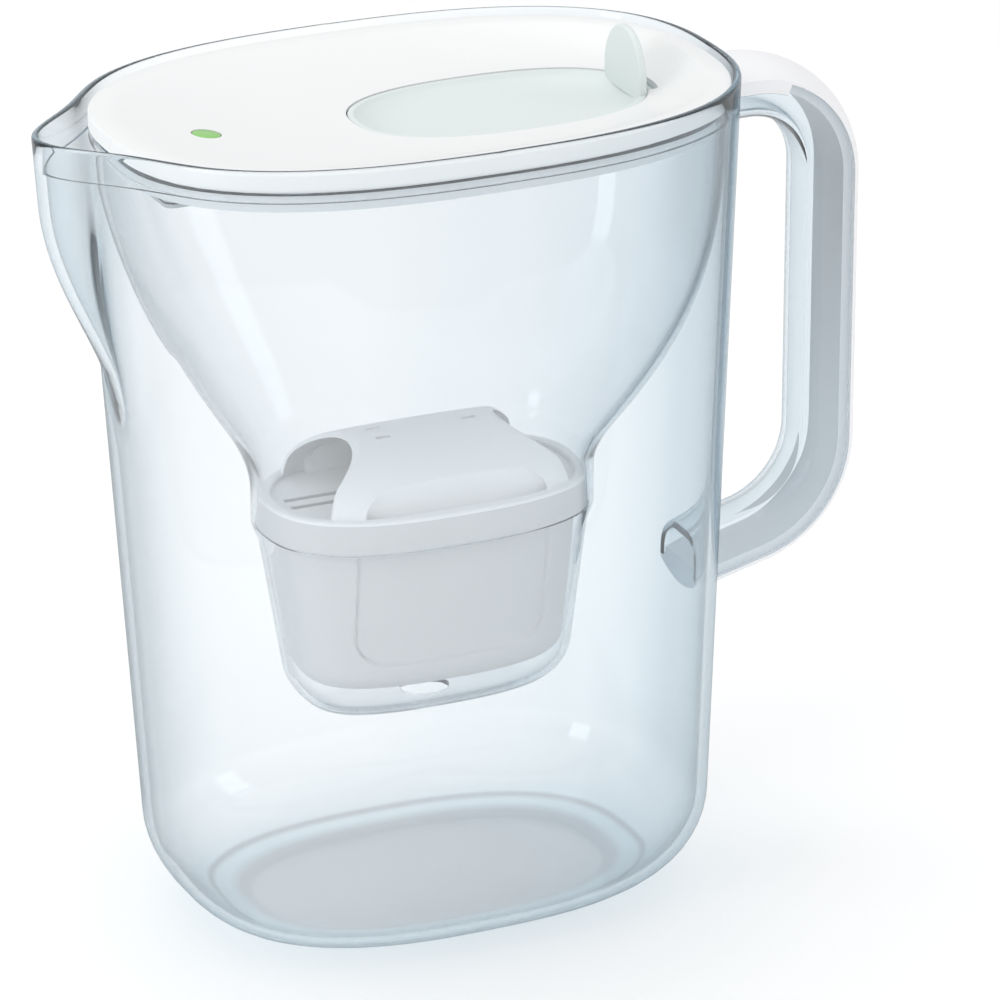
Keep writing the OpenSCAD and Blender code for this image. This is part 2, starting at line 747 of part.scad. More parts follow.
// The well at a height: straight above the seat, drafted below it
function well_ring(z, inset) =
    let (d = max(seat_z - z, 0))
    lift(oval(well_a - inset - well_draft * d, well_b - inset - well_side_draft * d,
        well_power, well_x + well_lean * d, mouth_points), z);
// The rounded lower edge of the well, as seen from inside or outside
function well_edge(step, inset) =
    let (turn = 90 * step / well_steps, r = well_edge_r - inset)
        well_ring(well_z + well_edge_r - r * cos(turn), seat_step + inset + r * (1 - sin(turn)));
function flare_z(i) = neck_z + (ledge_z - neck_z) * pow(i / flare_steps, 1.25);

module hopper() {
    inner = hopper_wall;
    vent_r = 2;
    vent_gap = 7;
    outside = concat(
        [for (i = [0 : well_steps]) well_edge(i, 0)],
        [well_ring(seat_z - seat_slope_h, seat_step), well_ring(seat_z, 0)],
        [for (i = [0 : flare_steps]) hopper_ring(flare_z(i), 0)],
        [lift(mouth(flange_gap), ledge_z), lift(mouth(flange_gap), flange_top_z)]);
    inside = concat(
        [lift(mouth(flange_in), flange_top_z)],
        [for (i = [flare_steps : -1 : 0]) hopper_ring(flare_z(i), inner)],
        [well_ring(seat_z, inner), well_ring(seat_z, inner + seat_step)],
        [for (i = [well_steps : -1 : 0]) well_edge(i, inner)]);
    color(clear_tint)
        difference() {
            skin(concat(outside, inside));
            translate([well_x, 0, well_z - 1])
                cylinder(r = outlet_r, h = hopper_wall + 2);
            for (turn = [0 : 60 : 300])
                translate([well_x, 0, well_z - 1])
                    rotate([0, 0, turn])
                        translate([outlet_r + vent_gap, 0, 0])
                            cylinder(r = vent_r, h = hopper_wall + 2);
        }
}

// ---- Cartridge: a cup with a rim band, closed by a cap with an arched hood
cup_a = band_a - band_out;
cup_b = band_b - band_out;
cup_z = well_z + cup_lift;
band_top_z = seat_z + band_h;
cup_points = 40;
cup_steps = 3;
band_corner = 0.6;
function cup_ring(z, inset) =
    let (d = seat_z - z, in = cup_draft * d + inset)
    lift(oval(cup_a - in, cup_b - in, well_power, well_x + well_lean * d, cup_points), z);
function band_ring(z, inset) =
    lift(oval(band_a - inset, band_b - inset, well_power, well_x, cup_points), z);
function cup_edge(step, inset) =
    let (turn = 90 * step / cup_steps, r = cup_edge_r - inset)
        cup_ring(cup_z + cup_edge_r - r * cos(turn), inset + r * (1 - sin(turn)));

module cartridge_cup() {
    slot_low = 8;
    slot_h = 26;
    slot_pitch = 12;
    outside = concat(
        [for (i = [0 : cup_steps]) cup_edge(i, 0)],
        [cup_ring(seat_z, 0), band_ring(seat_z, band_corner), band_ring(seat_z + band_corner, 0),
            band_ring(band_top_z, 0)]);
    inside = concat(
        [band_ring(band_top_z, cup_t), band_ring(seat_z + cup_t, cup_t), cup_ring(seat_z + cup_t, cup_t)],
        [for (i = [cup_steps : -1 : 0]) cup_edge(i, cup_t)]);
    color("white")
        difference() {
            skin(concat(outside, inside));
            side_panels();
            for (side = [-1, 1], row = [-0.5, 0.5])
                translate([well_x + side * cup_a, row * slot_pitch, cup_z + slot_low + slot_h / 2])
                    cube([2 * cup_edge_r + 6, outlet_w, slot_h], center = true);
        }
}
// The shallow label panels: rounded at their lower corners, open to the band above
module side_panels() {
    half = 0.66 * cup_a;
    low_z = cup_z + cup_edge_r + 3;
    high_z = seat_z - 1.2;
    corner = 10;
    difference() {
        translate([well_x, 0, 0])
            rotate([90, 0, 0]) {
                translate([-half, low_z + corner, -2 * cup_b])
                    cube([2 * half, high_z - low_z - corner, 4 * cup_b]);
                translate([corner - half, low_z, -2 * cup_b])
                    cube([2 * half - 2 * corner, 2 * corner, 4 * cup_b]);
                for (side = [-1, 1])
                    translate([side * (half - corner), low_z + corner, -2 * cup_b])
                        cylinder(r = corner, h = 4 * cup_b);
            }
        skin([cup_ring(cup_z, panel_depth), cup_ring(seat_z, panel_depth)]);
    }
}
// The cap: a rim on the cup's band, a sunken plate with inlet slots, and the hood over it
rim_t = 1.2;
cap_top_z = band_top_z + rim_t;
deck_z = cap_top_z - plate_drop;
cap_fit = 0.2;
tray_in = cup_t + cap_fit;
function cap_outline(inset) = oval(band_a - inset, band_b - inset, well_power, well_x, cup_points);
module cartridge_cap() {
    slot_len = 26;
    slot_end = 5;
    slot_y = 3.3;
    bleed_len = 5;
    bleed_w = 1.8;
    bleed_y = 4;
    bleed_end = 7;
    color("white") {
        oval_band(cap_outline(0), cap_outline(tray_in + plate_t), band_top_z, rim_t);
        oval_band(cap_outline(tray_in), cap_outline(tray_in + plate_t), deck_z - plate_t,
            band_top_z - deck_z + plate_t + eps);
        difference() {
            translate([0, 0, deck_z - plate_t])
                linear_extrude(plate_t)
                    polygon(cap_outline(tray_in));
            for (side = [-1, 1], row = [-1, 1])
                translate([well_x + side * (band_a - tray_in - slot_end - slot_len / 2), row * slot_y, deck_z])
                    cube([slot_len, inlet_w, 4 * plate_t], center = true);
        }
        difference() {
            intersection() {
                hood_section(0);
                translate([0, 0, deck_z - plate_t])
                    linear_extrude(hood_h + 2 * plate_t)
                        polygon(cap_outline(tray_in + cap_fit));
            }
            hood_section(hood_t);
            hood_ends();
            for (row = [-1, 0, 1])
                translate([well_x + (row == 0 ? 1 : -1) * (hood_top_len / 2 - bleed_end),
                    row * bleed_y, deck_z + hood_h])
                    cube([bleed_len, bleed_w, 6 * hood_t], center = true);
        }
    }
}
// The hood along the cartridge: half an oval across, hollow below and open at both ends
module hood_section(inset) {
    steps = 32;
    reach = inset > 0 ? hood_foot_len + 2 : hood_foot_len;
    foot = inset > 0 ? -plate_t / 4 : -plate_t / 2;
    translate([well_x, 0, deck_z])
        rotate([90, 0, 90])
            linear_extrude(reach, center = true)
                polygon(concat(
                    [[hood_wid / 2 - inset, foot]],
                    [for (i = [0 : steps]) let (t = 180 * i / steps)
                        [(hood_wid / 2 - inset) * bow(cos(t), 1.85), (hood_h - inset) * bow(sin(t), 1.85)]],
                    [[inset - hood_wid / 2, foot]]));
}
// What the slanting ends cut off the hood: steep at the foot and at the top, slanting between
module hood_ends() {
    foot_x = hood_foot_len / 2;
    top_x = hood_top_len / 2;
    for (side = [0, 1])
        translate([well_x, 0, deck_z])
            mirror([side, 0, 0])
                rotate([90, 0, 0])
                    linear_extrude(hood_wid + 2, center = true)
                        polygon([[foot_x, -1], [foot_x - 1.5, hood_h * 0.4], [top_x + 1, hood_h * 0.8],
                            [top_x, hood_h + 1], [hood_foot_len, hood_h + 1], [hood_foot_len, -1]]);
}
screen_gap = 0.3;
outlet_screen_t = 1;
module inlet_screen() {
    color([0.85, 0.85, 0.82])
        translate([0, 0, seat_z + cup_t])
            linear_extrude(screen_t)
                polygon(cap_outline(cup_t + screen_gap));
}
module outlet_screen() {
    in = cup_edge_r + screen_gap;
    color([0.85, 0.85, 0.82])
        translate([0, 0, cup_z + cup_t])
            linear_extrude(outlet_screen_t)
                polygon([for (p = cup_ring(cup_z, in)) [p[0], p[1]]]);
}
module filter_media() {
    fit = cup_t + screen_gap;
    color([0.30, 0.28, 0.26])
        skin([cup_ring(cup_z + cup_t + outlet_screen_t, cup_edge_r + screen_gap),
            cup_ring(cup_z + cup_edge_r, fit),
            cup_ring(seat_z + cup_t, fit)]);
}

jug();
handle_frame();
handle_grip();
lid_cover();
lid_base();
fill_flap();
indicator_button();
indicator_case();
circuit_board();
button_switch();
indicator_led();
battery_contacts();
battery_cell();
case_seal();
case_cover();
hopper();
cartridge_cup();
cartridge_cap();
inlet_screen();
filter_media();
outlet_screen();
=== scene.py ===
import math

import bmesh
import bpy
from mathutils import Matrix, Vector


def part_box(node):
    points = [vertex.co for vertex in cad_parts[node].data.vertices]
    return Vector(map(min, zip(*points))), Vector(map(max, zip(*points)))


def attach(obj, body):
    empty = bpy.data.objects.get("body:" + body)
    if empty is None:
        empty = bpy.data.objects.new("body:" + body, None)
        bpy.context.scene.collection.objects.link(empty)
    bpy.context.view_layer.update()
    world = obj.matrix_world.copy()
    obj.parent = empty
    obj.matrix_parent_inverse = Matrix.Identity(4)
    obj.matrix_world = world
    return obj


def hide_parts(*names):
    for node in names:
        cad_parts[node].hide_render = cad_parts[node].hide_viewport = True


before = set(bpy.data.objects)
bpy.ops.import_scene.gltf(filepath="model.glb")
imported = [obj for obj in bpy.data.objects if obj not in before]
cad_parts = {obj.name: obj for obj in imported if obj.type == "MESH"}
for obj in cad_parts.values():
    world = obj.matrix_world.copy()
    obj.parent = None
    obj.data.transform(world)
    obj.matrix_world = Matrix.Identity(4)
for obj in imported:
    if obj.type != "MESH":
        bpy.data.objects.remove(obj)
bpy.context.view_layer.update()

# ---- Camera
# The picture is taken from a little above the lid and from the spout's side, with a long
# lens, so that the upright lines of the pitcher stay nearly parallel.
look_at = Vector((0.03022, 0.0, 0.1286))
camera_turn = math.radians(-24.5)
camera_tilt = math.radians(22.15)
camera_distance = 2.0
lens_mm = 225.36

backwards = Vector((
    math.sin(camera_turn) * math.cos(camera_tilt),
    -math.cos(camera_turn) * math.cos(camera_tilt),
    math.sin(camera_tilt)))
camera_data = bpy.data.cameras.new("picture_camera")
camera_data.lens = lens_mm
camera_data.sensor_width = 36.0
camera = bpy.data.objects.new("picture_camera", camera_data)
camera.location = look_at + backwards * camera_distance
camera.rotation_euler = backwards.to_track_quat("Z", "Y").to_euler()
bpy.context.collection.objects.link(camera)
bpy.context.scene.camera = camera

# ---- Studio
# A pale floor under an even white sky. Reflections see a sky that darkens high up at both
# sides, as behind a photographer's flags; a wide softbox above and tall soft lights at the
# sides draw the long upright highlights on the clear walls.
floor_half = 6.0
floor_white = (0.97, 0.97, 0.97, 1.0)
floor_roughness = 0.7
sky_strength = 0.80
fill_strength = 0.92
flag_colour = (0.30, 0.35, 0.40, 1.0)
flag_side = (0.35, 0.75)
flag_height = (0.10, 0.30)
studio_middle = (0.03, 0.0, 0.13)


def softbox(name, place, aim, width, height, power):
    """A rectangular soft light at a place, turned towards the point it aims at."""
    data = bpy.data.lights.new(name, "AREA")
    data.shape = "RECTANGLE"
    data.size = width
    data.size_y = height
    data.energy = power
    light = bpy.data.objects.new(name, data)
    light.location = place
    light.rotation_euler = (Vector(place) - Vector(aim)).to_track_quat("Z", "Y").to_euler()
    bpy.context.collection.objects.link(light)


def pale_floor():
    """A floor wide enough to fill the picture behind the pitcher."""
    mesh = bpy.data.meshes.new("floor")
    corners = [(sx * floor_half, sy * floor_half, 0.0) for sx, sy in ((-1, -1), (1, -1), (1, 1), (-1, 1))]
    mesh.from_pydata(corners, [], [(0, 1, 2, 3)])
    floor = bpy.data.objects.new("floor", mesh)
    bpy.context.collection.objects.link(floor)
    material = bpy.data.materials.new("floor_paint")
    material.use_nodes = True
    shader = material.node_tree.nodes["Principled BSDF"]
    shader.inputs["Base Color"].default_value = floor_white
    shader.inputs["Roughness"].default_value = floor_roughness
    mesh.materials.append(material)


def flagged_sky():
    """A world that lights evenly, while mirrored and seen rays meet the darker flags."""
    sky = bpy.data.worlds.new("studio_sky")
    sky.use_nodes = True
    nodes = sky.node_tree.nodes
    wire = sky.node_tree.links.new
    place = nodes.new("ShaderNodeTexCoord")
    split = nodes.new("ShaderNodeSeparateXYZ")
    aside = nodes.new("ShaderNodeMath")
    aside.operation = "ABSOLUTE"
    sides = nodes.new("ShaderNodeMapRange")
    sides.inputs["From Min"].default_value = flag_side[0]
    sides.inputs["From Max"].default_value = flag_side[1]
    above = nodes.new("ShaderNodeMapRange")
    above.inputs["From Min"].default_value = flag_height[0]
    above.inputs["From Max"].default_value = flag_height[1]
    both = nodes.new("ShaderNodeMath")
    both.operation = "MULTIPLY"
    tone = nodes.new("ShaderNodeMix")
    tone.data_type = "RGBA"
    tone.inputs["A"].default_value = (1.0, 1.0, 1.0, 1.0)
    tone.inputs["B"].default_value = flag_colour
    wire(place.outputs["Generated"], split.inputs["Vector"])
    wire(split.outputs["X"], aside.inputs[0])
    wire(aside.outputs["Value"], sides.inputs["Value"])
    wire(split.outputs["Z"], above.inputs["Value"])
    wire(sides.outputs["Result"], both.inputs[0])
    wire(above.outputs["Result"], both.inputs[1])
    wire(both.outputs["Value"], tone.inputs["Factor"])
    path = nodes.new("ShaderNodeLightPath")
    strength = nodes.new("ShaderNodeMapRange")
    strength.inputs["To Min"].default_value = sky_strength
    strength.inputs["To Max"].default_value = fill_strength
    seen = nodes.new("ShaderNodeMix")
    seen.data_type = "RGBA"
    seen.inputs["B"].default_value = (1.0, 1.0, 1.0, 1.0)
    wire(path.outputs["Is Diffuse Ray"], seen.inputs["Factor"])
    wire(path.outputs["Is Diffuse Ray"], strength.inputs["Value"])
    wire(tone.outputs["Result"], seen.inputs["A"])
    wire(seen.outputs["Result"], nodes["Background"].inputs["Color"])
    wire(strength.outputs["Result"], nodes["Background"].inputs["Strength"])
    bpy.context.scene.world = sky


pale_floor()
flagged_sky()
bpy.context.scene.view_settings.view_transform = "Standard"
softbox("overhead_softbox", (-0.2, 0.3, 1.9), studio_middle, width=1.6, height=1.2, power=6.5)
softbox("left_softbox", (-1.5, -0.6, 0.8), studio_middle, width=0.5, height=1.4, power=6.5)
softbox("right_softbox", (1.4, -1.0, 0.7), studio_middle, width=0.35, height=1.2, power=2.5)

# ---- Jug with its handle channel
# One clear moulding: an oval body that draws in towards a flat foot with a round heel, a
# beak grown out of the front wall, and an open channel that loops out as the handle.
jug_low, jug_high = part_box("jug")
rim_z = jug_high.z
mouth_half_length = jug_high.x
mouth_half_width = jug_high.y
spout_reach = -jug_low.x - mouth_half_length
foot_half_length = 0.0899
foot_half_width = 0.0664
foot_shift = 0.0043
oval_power = 2.55
heel_radius = 0.031
jug_wall = 0.0032
collar_wall = 0.0022
ledge_z = 0.2612
spout_height = 0.080
spout_round = 0.72
spout_width = 0.1475
spout_crease_low = 0.015
spout_crease_high = 0.022
spout_crowding = math.radians(28)
beak_margin = 0.012
heel_top_z = 0.036
block_low_z = 0.060
block_over_rim = 0.01
ledge_margin = 0.003
rim_rounding = 0.0009
around_jug = 288

handle_low, handle_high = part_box("handle_frame")
handle_width = handle_high.y - handle_low.y
handle_reach = 0.148
channel_depth = 0.0135
channel_corner = 0.0095
channel_wall = 0.0024
handle_drop = 0.0106
top_bend = 0.035
low_bend = 0.038
low_bend_z = 0.1365
low_bar_slope = math.radians(14)
head_turn = math.radians(20)
bar_root = 0.060

# Painted shade: the clear walls' colour turns blue-grey where they are seen edge-on
painted_edge_falloff = 2.2
# Painted shade: a dark painted line at the clear walls' outlines
painted_line_falloff = 5.0
painted_line_colour = (0.30, 0.36, 0.41, 1.0)
# A painted shadow: the jug's floor inside is greyed towards lavender, where shade falls under the jug
painted_shadow_fade = (0.0009, 0.0002)
painted_floor_shadow = (0.61, 0.56, 0.57, 1.0)
# Painted shade: the clear walls are tinted bluer and darker towards the handle and in the beak, between
# these places along the length
handle_side = (0.01, 0.075)
beak_side = (-0.097, -0.108)
clear_ior = 1.38
flow_scale = 12.0
smear_scale = 55.0
smear_roughness = 0.035


def bow(value, power):
    """The share along an axis of a superellipse whose plain share is the value."""
    return math.copysign(abs(value) ** (2.0 / power), value)


def body_half_length(z):
    return foot_half_length + (mouth_half_length - foot_half_length) * z / rim_z


def body_half_width(z):
    return foot_half_width + (mouth_half_width - foot_half_width) * z / rim_z


def body_middle(z):
    return foot_shift * (1.0 - z / rim_z)


def oval_radius(half_length, half_width, turn):
    across = abs(math.cos(turn)) / half_length
    along = abs(math.sin(turn)) / half_width
    return (across ** oval_power + along ** oval_power) ** (-1.0 / oval_power)


def beak_radius(tip, width, turn):
    """The radius at a turn of the parabola that the beak follows in plan."""
    if math.cos(turn) <= 0.0:
        return 0.0
    s = max(math.sin(turn) ** 2, 1e-6)
    w = width * width
    c = math.cos(turn)
    return (math.sqrt(w * w * c * c + 4.0 * s * w * tip) - w * c) / (2.0 * s)


def soft_max(p, q, soft):
    """The larger of two lengths, rounded where they cross."""
    h = max(soft - abs(p - q), 0.0) / soft
    return max(p, q) + h * h * soft / 4.0


def beak_reach(z):
    """How far the beak's ridge stands out of the wall; less than nothing below its foot."""
    share = (z - rim_z + spout_height) / (spout_height * spout_round)
    return spout_reach * (math.sin(math.pi / 2 * min(share, 1.0)) if share > 0.0 else math.pi / 2 * share)


def jug_ring(z, inset=0.0):
    """The jug's outline at a height, with more points where the beak turns sharply."""
    ring = []
    reach = beak_reach(z)
    grown = max(reach, 0.0) / spout_reach
    crease = spout_crease_low + (spout_crease_high - spout_crease_low) * grown
    for i in range(around_jug):
        plain = 2.0 * math.pi * i / around_jug
        turn = plain - spout_crowding * math.sin(plain)
        r = oval_radius(body_half_length(z) - inset, body_half_width(z) - inset, turn)
        if reach > -crease:
            tip = body_half_length(z) + reach
            r = soft_max(r, beak_radius(tip, spout_width, turn) - inset, crease)
        ring.append((body_middle(z) - r * math.cos(turn), -r * math.sin(turn), z))
    return ring


def steps(low, high, count):
    return [low + (high - low) * i / count for i in range(count + 1)]


def new_piece(name, mesh):
    piece = bpy.data.objects.new(name, mesh)
    bpy.context.collection.objects.link(piece)
    return piece


def soften(piece, sharp_degrees=38):
    """Smooth shading, with the real edges kept sharp."""
    piece.data.shade_smooth()
    piece.data.set_sharp_from_angle(angle=math.radians(sharp_degrees))


def loft(name, rings, closed=False):
    """A skin through rings of as many points each: closed on itself, or with flat ends."""
    count = len(rings[0])
    points = [point for ring in rings for point in ring]
    faces = []
    last = len(rings) if closed else len(rings) - 1
    for j in range(last):
        k = (j + 1) % len(rings)
        for i in range(count):
            m = (i + 1) % count
            faces.append((j * count + i, j * count + m, k * count + m, k * count + i))
    if not closed:
        faces.append(tuple(range(count - 1, -1, -1)))
        faces.append(tuple(range((len(rings) - 1) * count, len(rings) * count)))
    mesh = bpy.data.meshes.new(name)
    mesh.from_pydata(points, [], faces)
    form = bmesh.new()
    form.from_mesh(mesh)
    bmesh.ops.recalc_face_normals(form, faces=form.faces)
    form.to_mesh(mesh)
    form.free()
    piece = new_piece(name, mesh)
    soften(piece)
    return piece


def settle(piece):
    """Turns the piece's modifiers into its mesh."""
    graph = bpy.context.evaluated_depsgraph_get()
    mesh = bpy.data.meshes.new_from_object(piece.evaluated_get(graph))
    piece.modifiers.clear()
    piece.data = mesh
    return piece


def combine(piece, tool, operation):
    """Joins or cuts a piece with a tool, which is used up."""
    change = piece.modifiers.new(operation.lower(), "BOOLEAN")
    change.operation = operation
    change.solver = "EXACT"
    change.object = tool
    settle(piece)
    bpy.data.objects.remove(tool)
    soften(piece)
    return piece


def heel_ring(share, inset):
    turn = math.pi / 2 * share
    r = heel_radius - inset
    return jug_ring(heel_radius - r * math.cos(turn), inset + r * (1.0 - math.sin(turn)))


def jug_shell():
    """The jug's wall as one skin: up the outside, over the rim and down the inside."""
    heel = steps(0.0, 1.0, 14)
    beak_z = rim_z - spout_height - beak_margin
    wall_z = steps(heel_top_z, beak_z, 24) + steps(beak_z, rim_z, 52)[1:-1]
    outside = [heel_ring(share, 0.0) for share in heel]
    outside += [jug_ring(z) for z in wall_z]
    rim = []
    for share in steps(0.0, 1.0, 6):
        turn = math.pi * share
        inset = collar_wall / 2 - (collar_wall / 2) * math.cos(turn)
        rim.append(jug_ring(rim_z - rim_rounding * (1.0 - math.sin(turn)), inset))
    inside = [jug_ring(ledge_z, collar_wall), jug_ring(ledge_z, jug_wall)]
    inside += [jug_ring(z, jug_wall) for z in reversed(wall_z) if z < ledge_z - ledge_margin]
    inside += [heel_ring(share, jug_wall) for share in reversed(heel)]
    return loft("jug", outside + rim + inside)


def bend_station(r, z, turn):
    """A place on one of the handle's bends, with the way the section is turned there."""
    return (handle_reach + r * (math.cos(turn) - 1.0), z + r * math.sin(turn), turn)


def placed(section, station):
    """A flat section, stood across the handle at a station."""
    x, z, turn = station
    return [(x + v * math.cos(turn), u, z + v * math.sin(turn)) for v, u in section]


def arc(x, y, r, start, end, count):
    return [
        (x + r * math.cos(math.radians(t)), y + r * math.sin(math.radians(t)))
        for t in steps(start, end, count)]


def both_sides(half):
    return half + [(v, -u) for v, u in reversed(half)]


def handle_runs():
    """Stations along the handle: up the lower bar and the upright, and over the top bar."""
    low_turn = low_bar_slope - math.pi / 2
    top_z = rim_z - handle_drop - top_bend
    low_end = bend_station(low_bend, low_bend_z, low_turn)
    root_z = low_end[1] - (low_end[0] - bar_root) * math.tan(low_bar_slope)
    lower = [(bar_root + (low_end[0] - bar_root) * s, root_z + (low_end[1] - root_z) * s, low_turn)
             for s in steps(0.0, 1.0, 8)[:-1]]
    lower += [bend_station(low_bend, low_bend_z, low_turn * (1.0 - s)) for s in steps(0.0, 1.0, 28)]
    lower += [(handle_reach, low_bend_z + (top_z - low_bend_z) * s, 0.0)
              for s in steps(0.0, 1.0, 8)[1:-1]]
    head = math.pi / 2 - head_turn
    lower += [bend_station(top_bend, top_z, head * s) for s in steps(0.0, 1.0, 26)]
    upper = [bend_station(top_bend, top_z, head + head_turn * s) for s in steps(0.02, 1.0, 8)]
    upper.append((bar_root, rim_z - handle_drop, math.pi / 2))
    return lower, upper


side_height = channel_depth - channel_corner
side_y = handle_width / 2 - channel_corner
head_depth = 0.9 * side_height
grip_gap = 0.0002


def channel_section(foot):
    outer = [(-foot, handle_width / 2)] + arc(-side_height, side_y, channel_corner, 90, 180, 12)
    inner = [(-foot - grip_gap / 2, channel_wall - handle_width / 2)]
    inner += arc(-side_height, -side_y, channel_corner - channel_wall, 270, 180, 12)
    return both_sides(outer) + both_sides(inner)


def handle_skin(name, tail, head):
    lower, upper = handle_runs()
    return loft(name, [placed(tail, s) for s in lower] + [placed(head, s) for s in upper])


def wall_block(inset):
    """The jug's outer form as a solid, drawn in by an inset: the handle's ends are cut to it."""
    return loft("wall_block", [jug_ring(z, inset) for z in steps(block_low_z, rim_z + block_over_rim, 10)])


def link(material, from_socket, to_socket):
    material.node_tree.links.new(from_socket, to_socket)


def clear_plastic(name, tint, painted_edge_shade, painted_side_shade, painted_line_strength, depth_colour, depth, ripple):
    """Polished clear plastic with painted shade: darker at its edges, greyed on the floor and bluer towards
    the handle and beak, with faint flow ripples and smears.
    """
    material = bpy.data.materials.new(name)
    material.use_nodes = True
    nodes = material.node_tree.nodes
    shader = nodes["Principled BSDF"]
    # Painted shade: the colour darkens towards the edge shade where the wall is seen edge-on
    facing = nodes.new("ShaderNodeLayerWeight")
    facing.inputs["Blend"].default_value = 0.5
    painted_edge_share = nodes.new("ShaderNodeMath")
    painted_edge_share.operation = "POWER"
    painted_edge_share.inputs[1].default_value = painted_edge_falloff
    tone = nodes.new("ShaderNodeMix")
    tone.data_type = "RGBA"
    tone.inputs["A"].default_value = tint
    tone.inputs["B"].default_value = painted_edge_shade
    link(material, facing.outputs["Facing"], painted_edge_share.inputs[0])
    link(material, painted_edge_share.outputs["Value"], tone.inputs["Factor"])
    # A painted shadow greys the floor inside, where the shade under the jug falls
    where = nodes.new("ShaderNodeSeparateXYZ")
    off_floor = nodes.new("ShaderNodeMath")
    off_floor.operation = "SUBTRACT"
    off_floor.inputs[1].default_value = jug_wall
    near_floor = nodes.new("ShaderNodeMath")
    near_floor.operation = "ABSOLUTE"
    painted_shadow_share = nodes.new("ShaderNodeMapRange")
    painted_shadow_share.inputs["From Min"].default_value = painted_shadow_fade[0]
    painted_shadow_share.inputs["From Max"].default_value = painted_shadow_fade[1]
    painted_shadow_tone = nodes.new("ShaderNodeMix")
    painted_shadow_tone.data_type = "RGBA"
    painted_shadow_tone.inputs["B"].default_value = painted_floor_shadow
    place = nodes.new("ShaderNodeTexCoord")
    link(material, place.outputs["Object"], where.inputs["Vector"])
    link(material, where.outputs["Z"], off_floor.inputs[0])
    link(material, off_floor.outputs["Value"], near_floor.inputs[0])
    link(material, near_floor.outputs["Value"], painted_shadow_share.inputs["Value"])
    link(material, painted_shadow_share.outputs["Result"], painted_shadow_tone.inputs["Factor"])
    link(material, tone.outputs["Result"], painted_shadow_tone.inputs["A"])
    # Painted shade: the plastic is tinted bluer and darker towards the handle and in the beak
    to_handle = nodes.new("ShaderNodeMapRange")
    to_handle.inputs["From Min"].default_value = handle_side[0]
    to_handle.inputs["From Max"].default_value = handle_side[1]
    to_beak = nodes.new("ShaderNodeMapRange")
    to_beak.inputs["From Min"].default_value = beak_side[0]
    to_beak.inputs["From Max"].default_value = beak_side[1]
    painted_side_share = nodes.new("ShaderNodeMath")
    painted_side_share.operation = "MAXIMUM"
    painted_side_tone = nodes.new("ShaderNodeMix")
    painted_side_tone.data_type = "RGBA"
    painted_side_tone.blend_type = "MULTIPLY"
    painted_side_tone.inputs["B"].default_value = painted_side_shade
    link(material, where.outputs["X"], to_handle.inputs["Value"])
    link(material, where.outputs["X"], to_beak.inputs["Value"])
    link(material, to_handle.outputs["Result"], painted_side_share.inputs[0])
    link(material, to_beak.outputs["Result"], painted_side_share.inputs[1])
    link(material, painted_side_share.outputs["Value"], painted_side_tone.inputs["Factor"])
    link(material, painted_shadow_tone.outputs["Result"], painted_side_tone.inputs["A"])
    link(material, painted_side_tone.outputs["Result"], shader.inputs["Base Color"])
    shader.inputs["Transmission Weight"].default_value = 1.0
    shader.inputs["IOR"].default_value = clear_ior
    flow = nodes.new("ShaderNodeTexNoise")
    flow.inputs["Scale"].default_value = flow_scale
    flow.inputs["Detail"].default_value = 1.0
    bump = nodes.new("ShaderNodeBump")
    bump.inputs["Strength"].default_value = ripple
    bump.inputs["Distance"].default_value = 0.001
    smear = nodes.new("ShaderNodeTexNoise")
    smear.inputs["Scale"].default_value = smear_scale
    smear.inputs["Detail"].default_value = 3.0
    polish = nodes.new("ShaderNodeMapRange")
    polish.inputs["To Min"].default_value = 0.0
    polish.inputs["To Max"].default_value = smear_roughness
    link(material, place.outputs["Object"], flow.inputs["Vector"])
    link(material, place.outputs["Object"], smear.inputs["Vector"])
    link(material, flow.outputs["Fac"], bump.inputs["Height"])
    link(material, bump.outputs["Normal"], shader.inputs["Normal"])
    link(material, smear.outputs["Fac"], polish.inputs["Value"])
    link(material, polish.outputs["Result"], shader.inputs["Roughness"])
    # Light for the pieces inside passes the walls unbent, and the edges get a painted dark line, painted
    # shade at the outlines
    path = nodes.new("ShaderNodeLightPath")
    straight = nodes.new("ShaderNodeBsdfTransparent")
    either = nodes.new("ShaderNodeMath")
    either.operation = "MAXIMUM"
    painted_line_share = nodes.new("ShaderNodeMath")
    painted_line_share.operation = "POWER"
    painted_line_share.inputs[1].default_value = painted_line_falloff
    line = nodes.new("ShaderNodeMath")
    line.operation = "MULTIPLY"
    line.inputs[1].default_value = painted_line_strength
    any_of = nodes.new("ShaderNodeMath")
    any_of.operation = "MAXIMUM"
    seen = nodes.new("ShaderNodeMath")
    seen.operation = "SUBTRACT"
    painted_line_tone = nodes.new("ShaderNodeMix")
    painted_line_tone.data_type = "RGBA"
    painted_line_tone.inputs["A"].default_value = (0.97, 0.98, 0.985, 1.0)
    painted_line_tone.inputs["B"].default_value = painted_line_colour
    choose = nodes.new("ShaderNodeMixShader")
    link(material, facing.outputs["Facing"], painted_line_share.inputs[0])
    link(material, painted_line_share.outputs["Value"], line.inputs[0])
    link(material, line.outputs["Value"], seen.inputs[0])
    link(material, either.outputs["Value"], seen.inputs[1])
    link(material, seen.outputs["Value"], painted_line_tone.inputs["Factor"])
    link(material, painted_line_tone.outputs["Result"], straight.inputs["Color"])
    link(material, path.outputs["Is Shadow Ray"], either.inputs[0])
    link(material, path.outputs["Is Diffuse Ray"], either.inputs[1])
    link(material, either.outputs["Value"], any_of.inputs[0])
    link(material, line.outputs["Value"], any_of.inputs[1])
    link(material, any_of.outputs["Value"], choose.inputs["Fac"])
    link(material, shader.outputs["BSDF"], choose.inputs[1])
    link(material, straight.outputs["BSDF"], choose.inputs[2])
    body = nodes.new("ShaderNodeVolumeAbsorption")
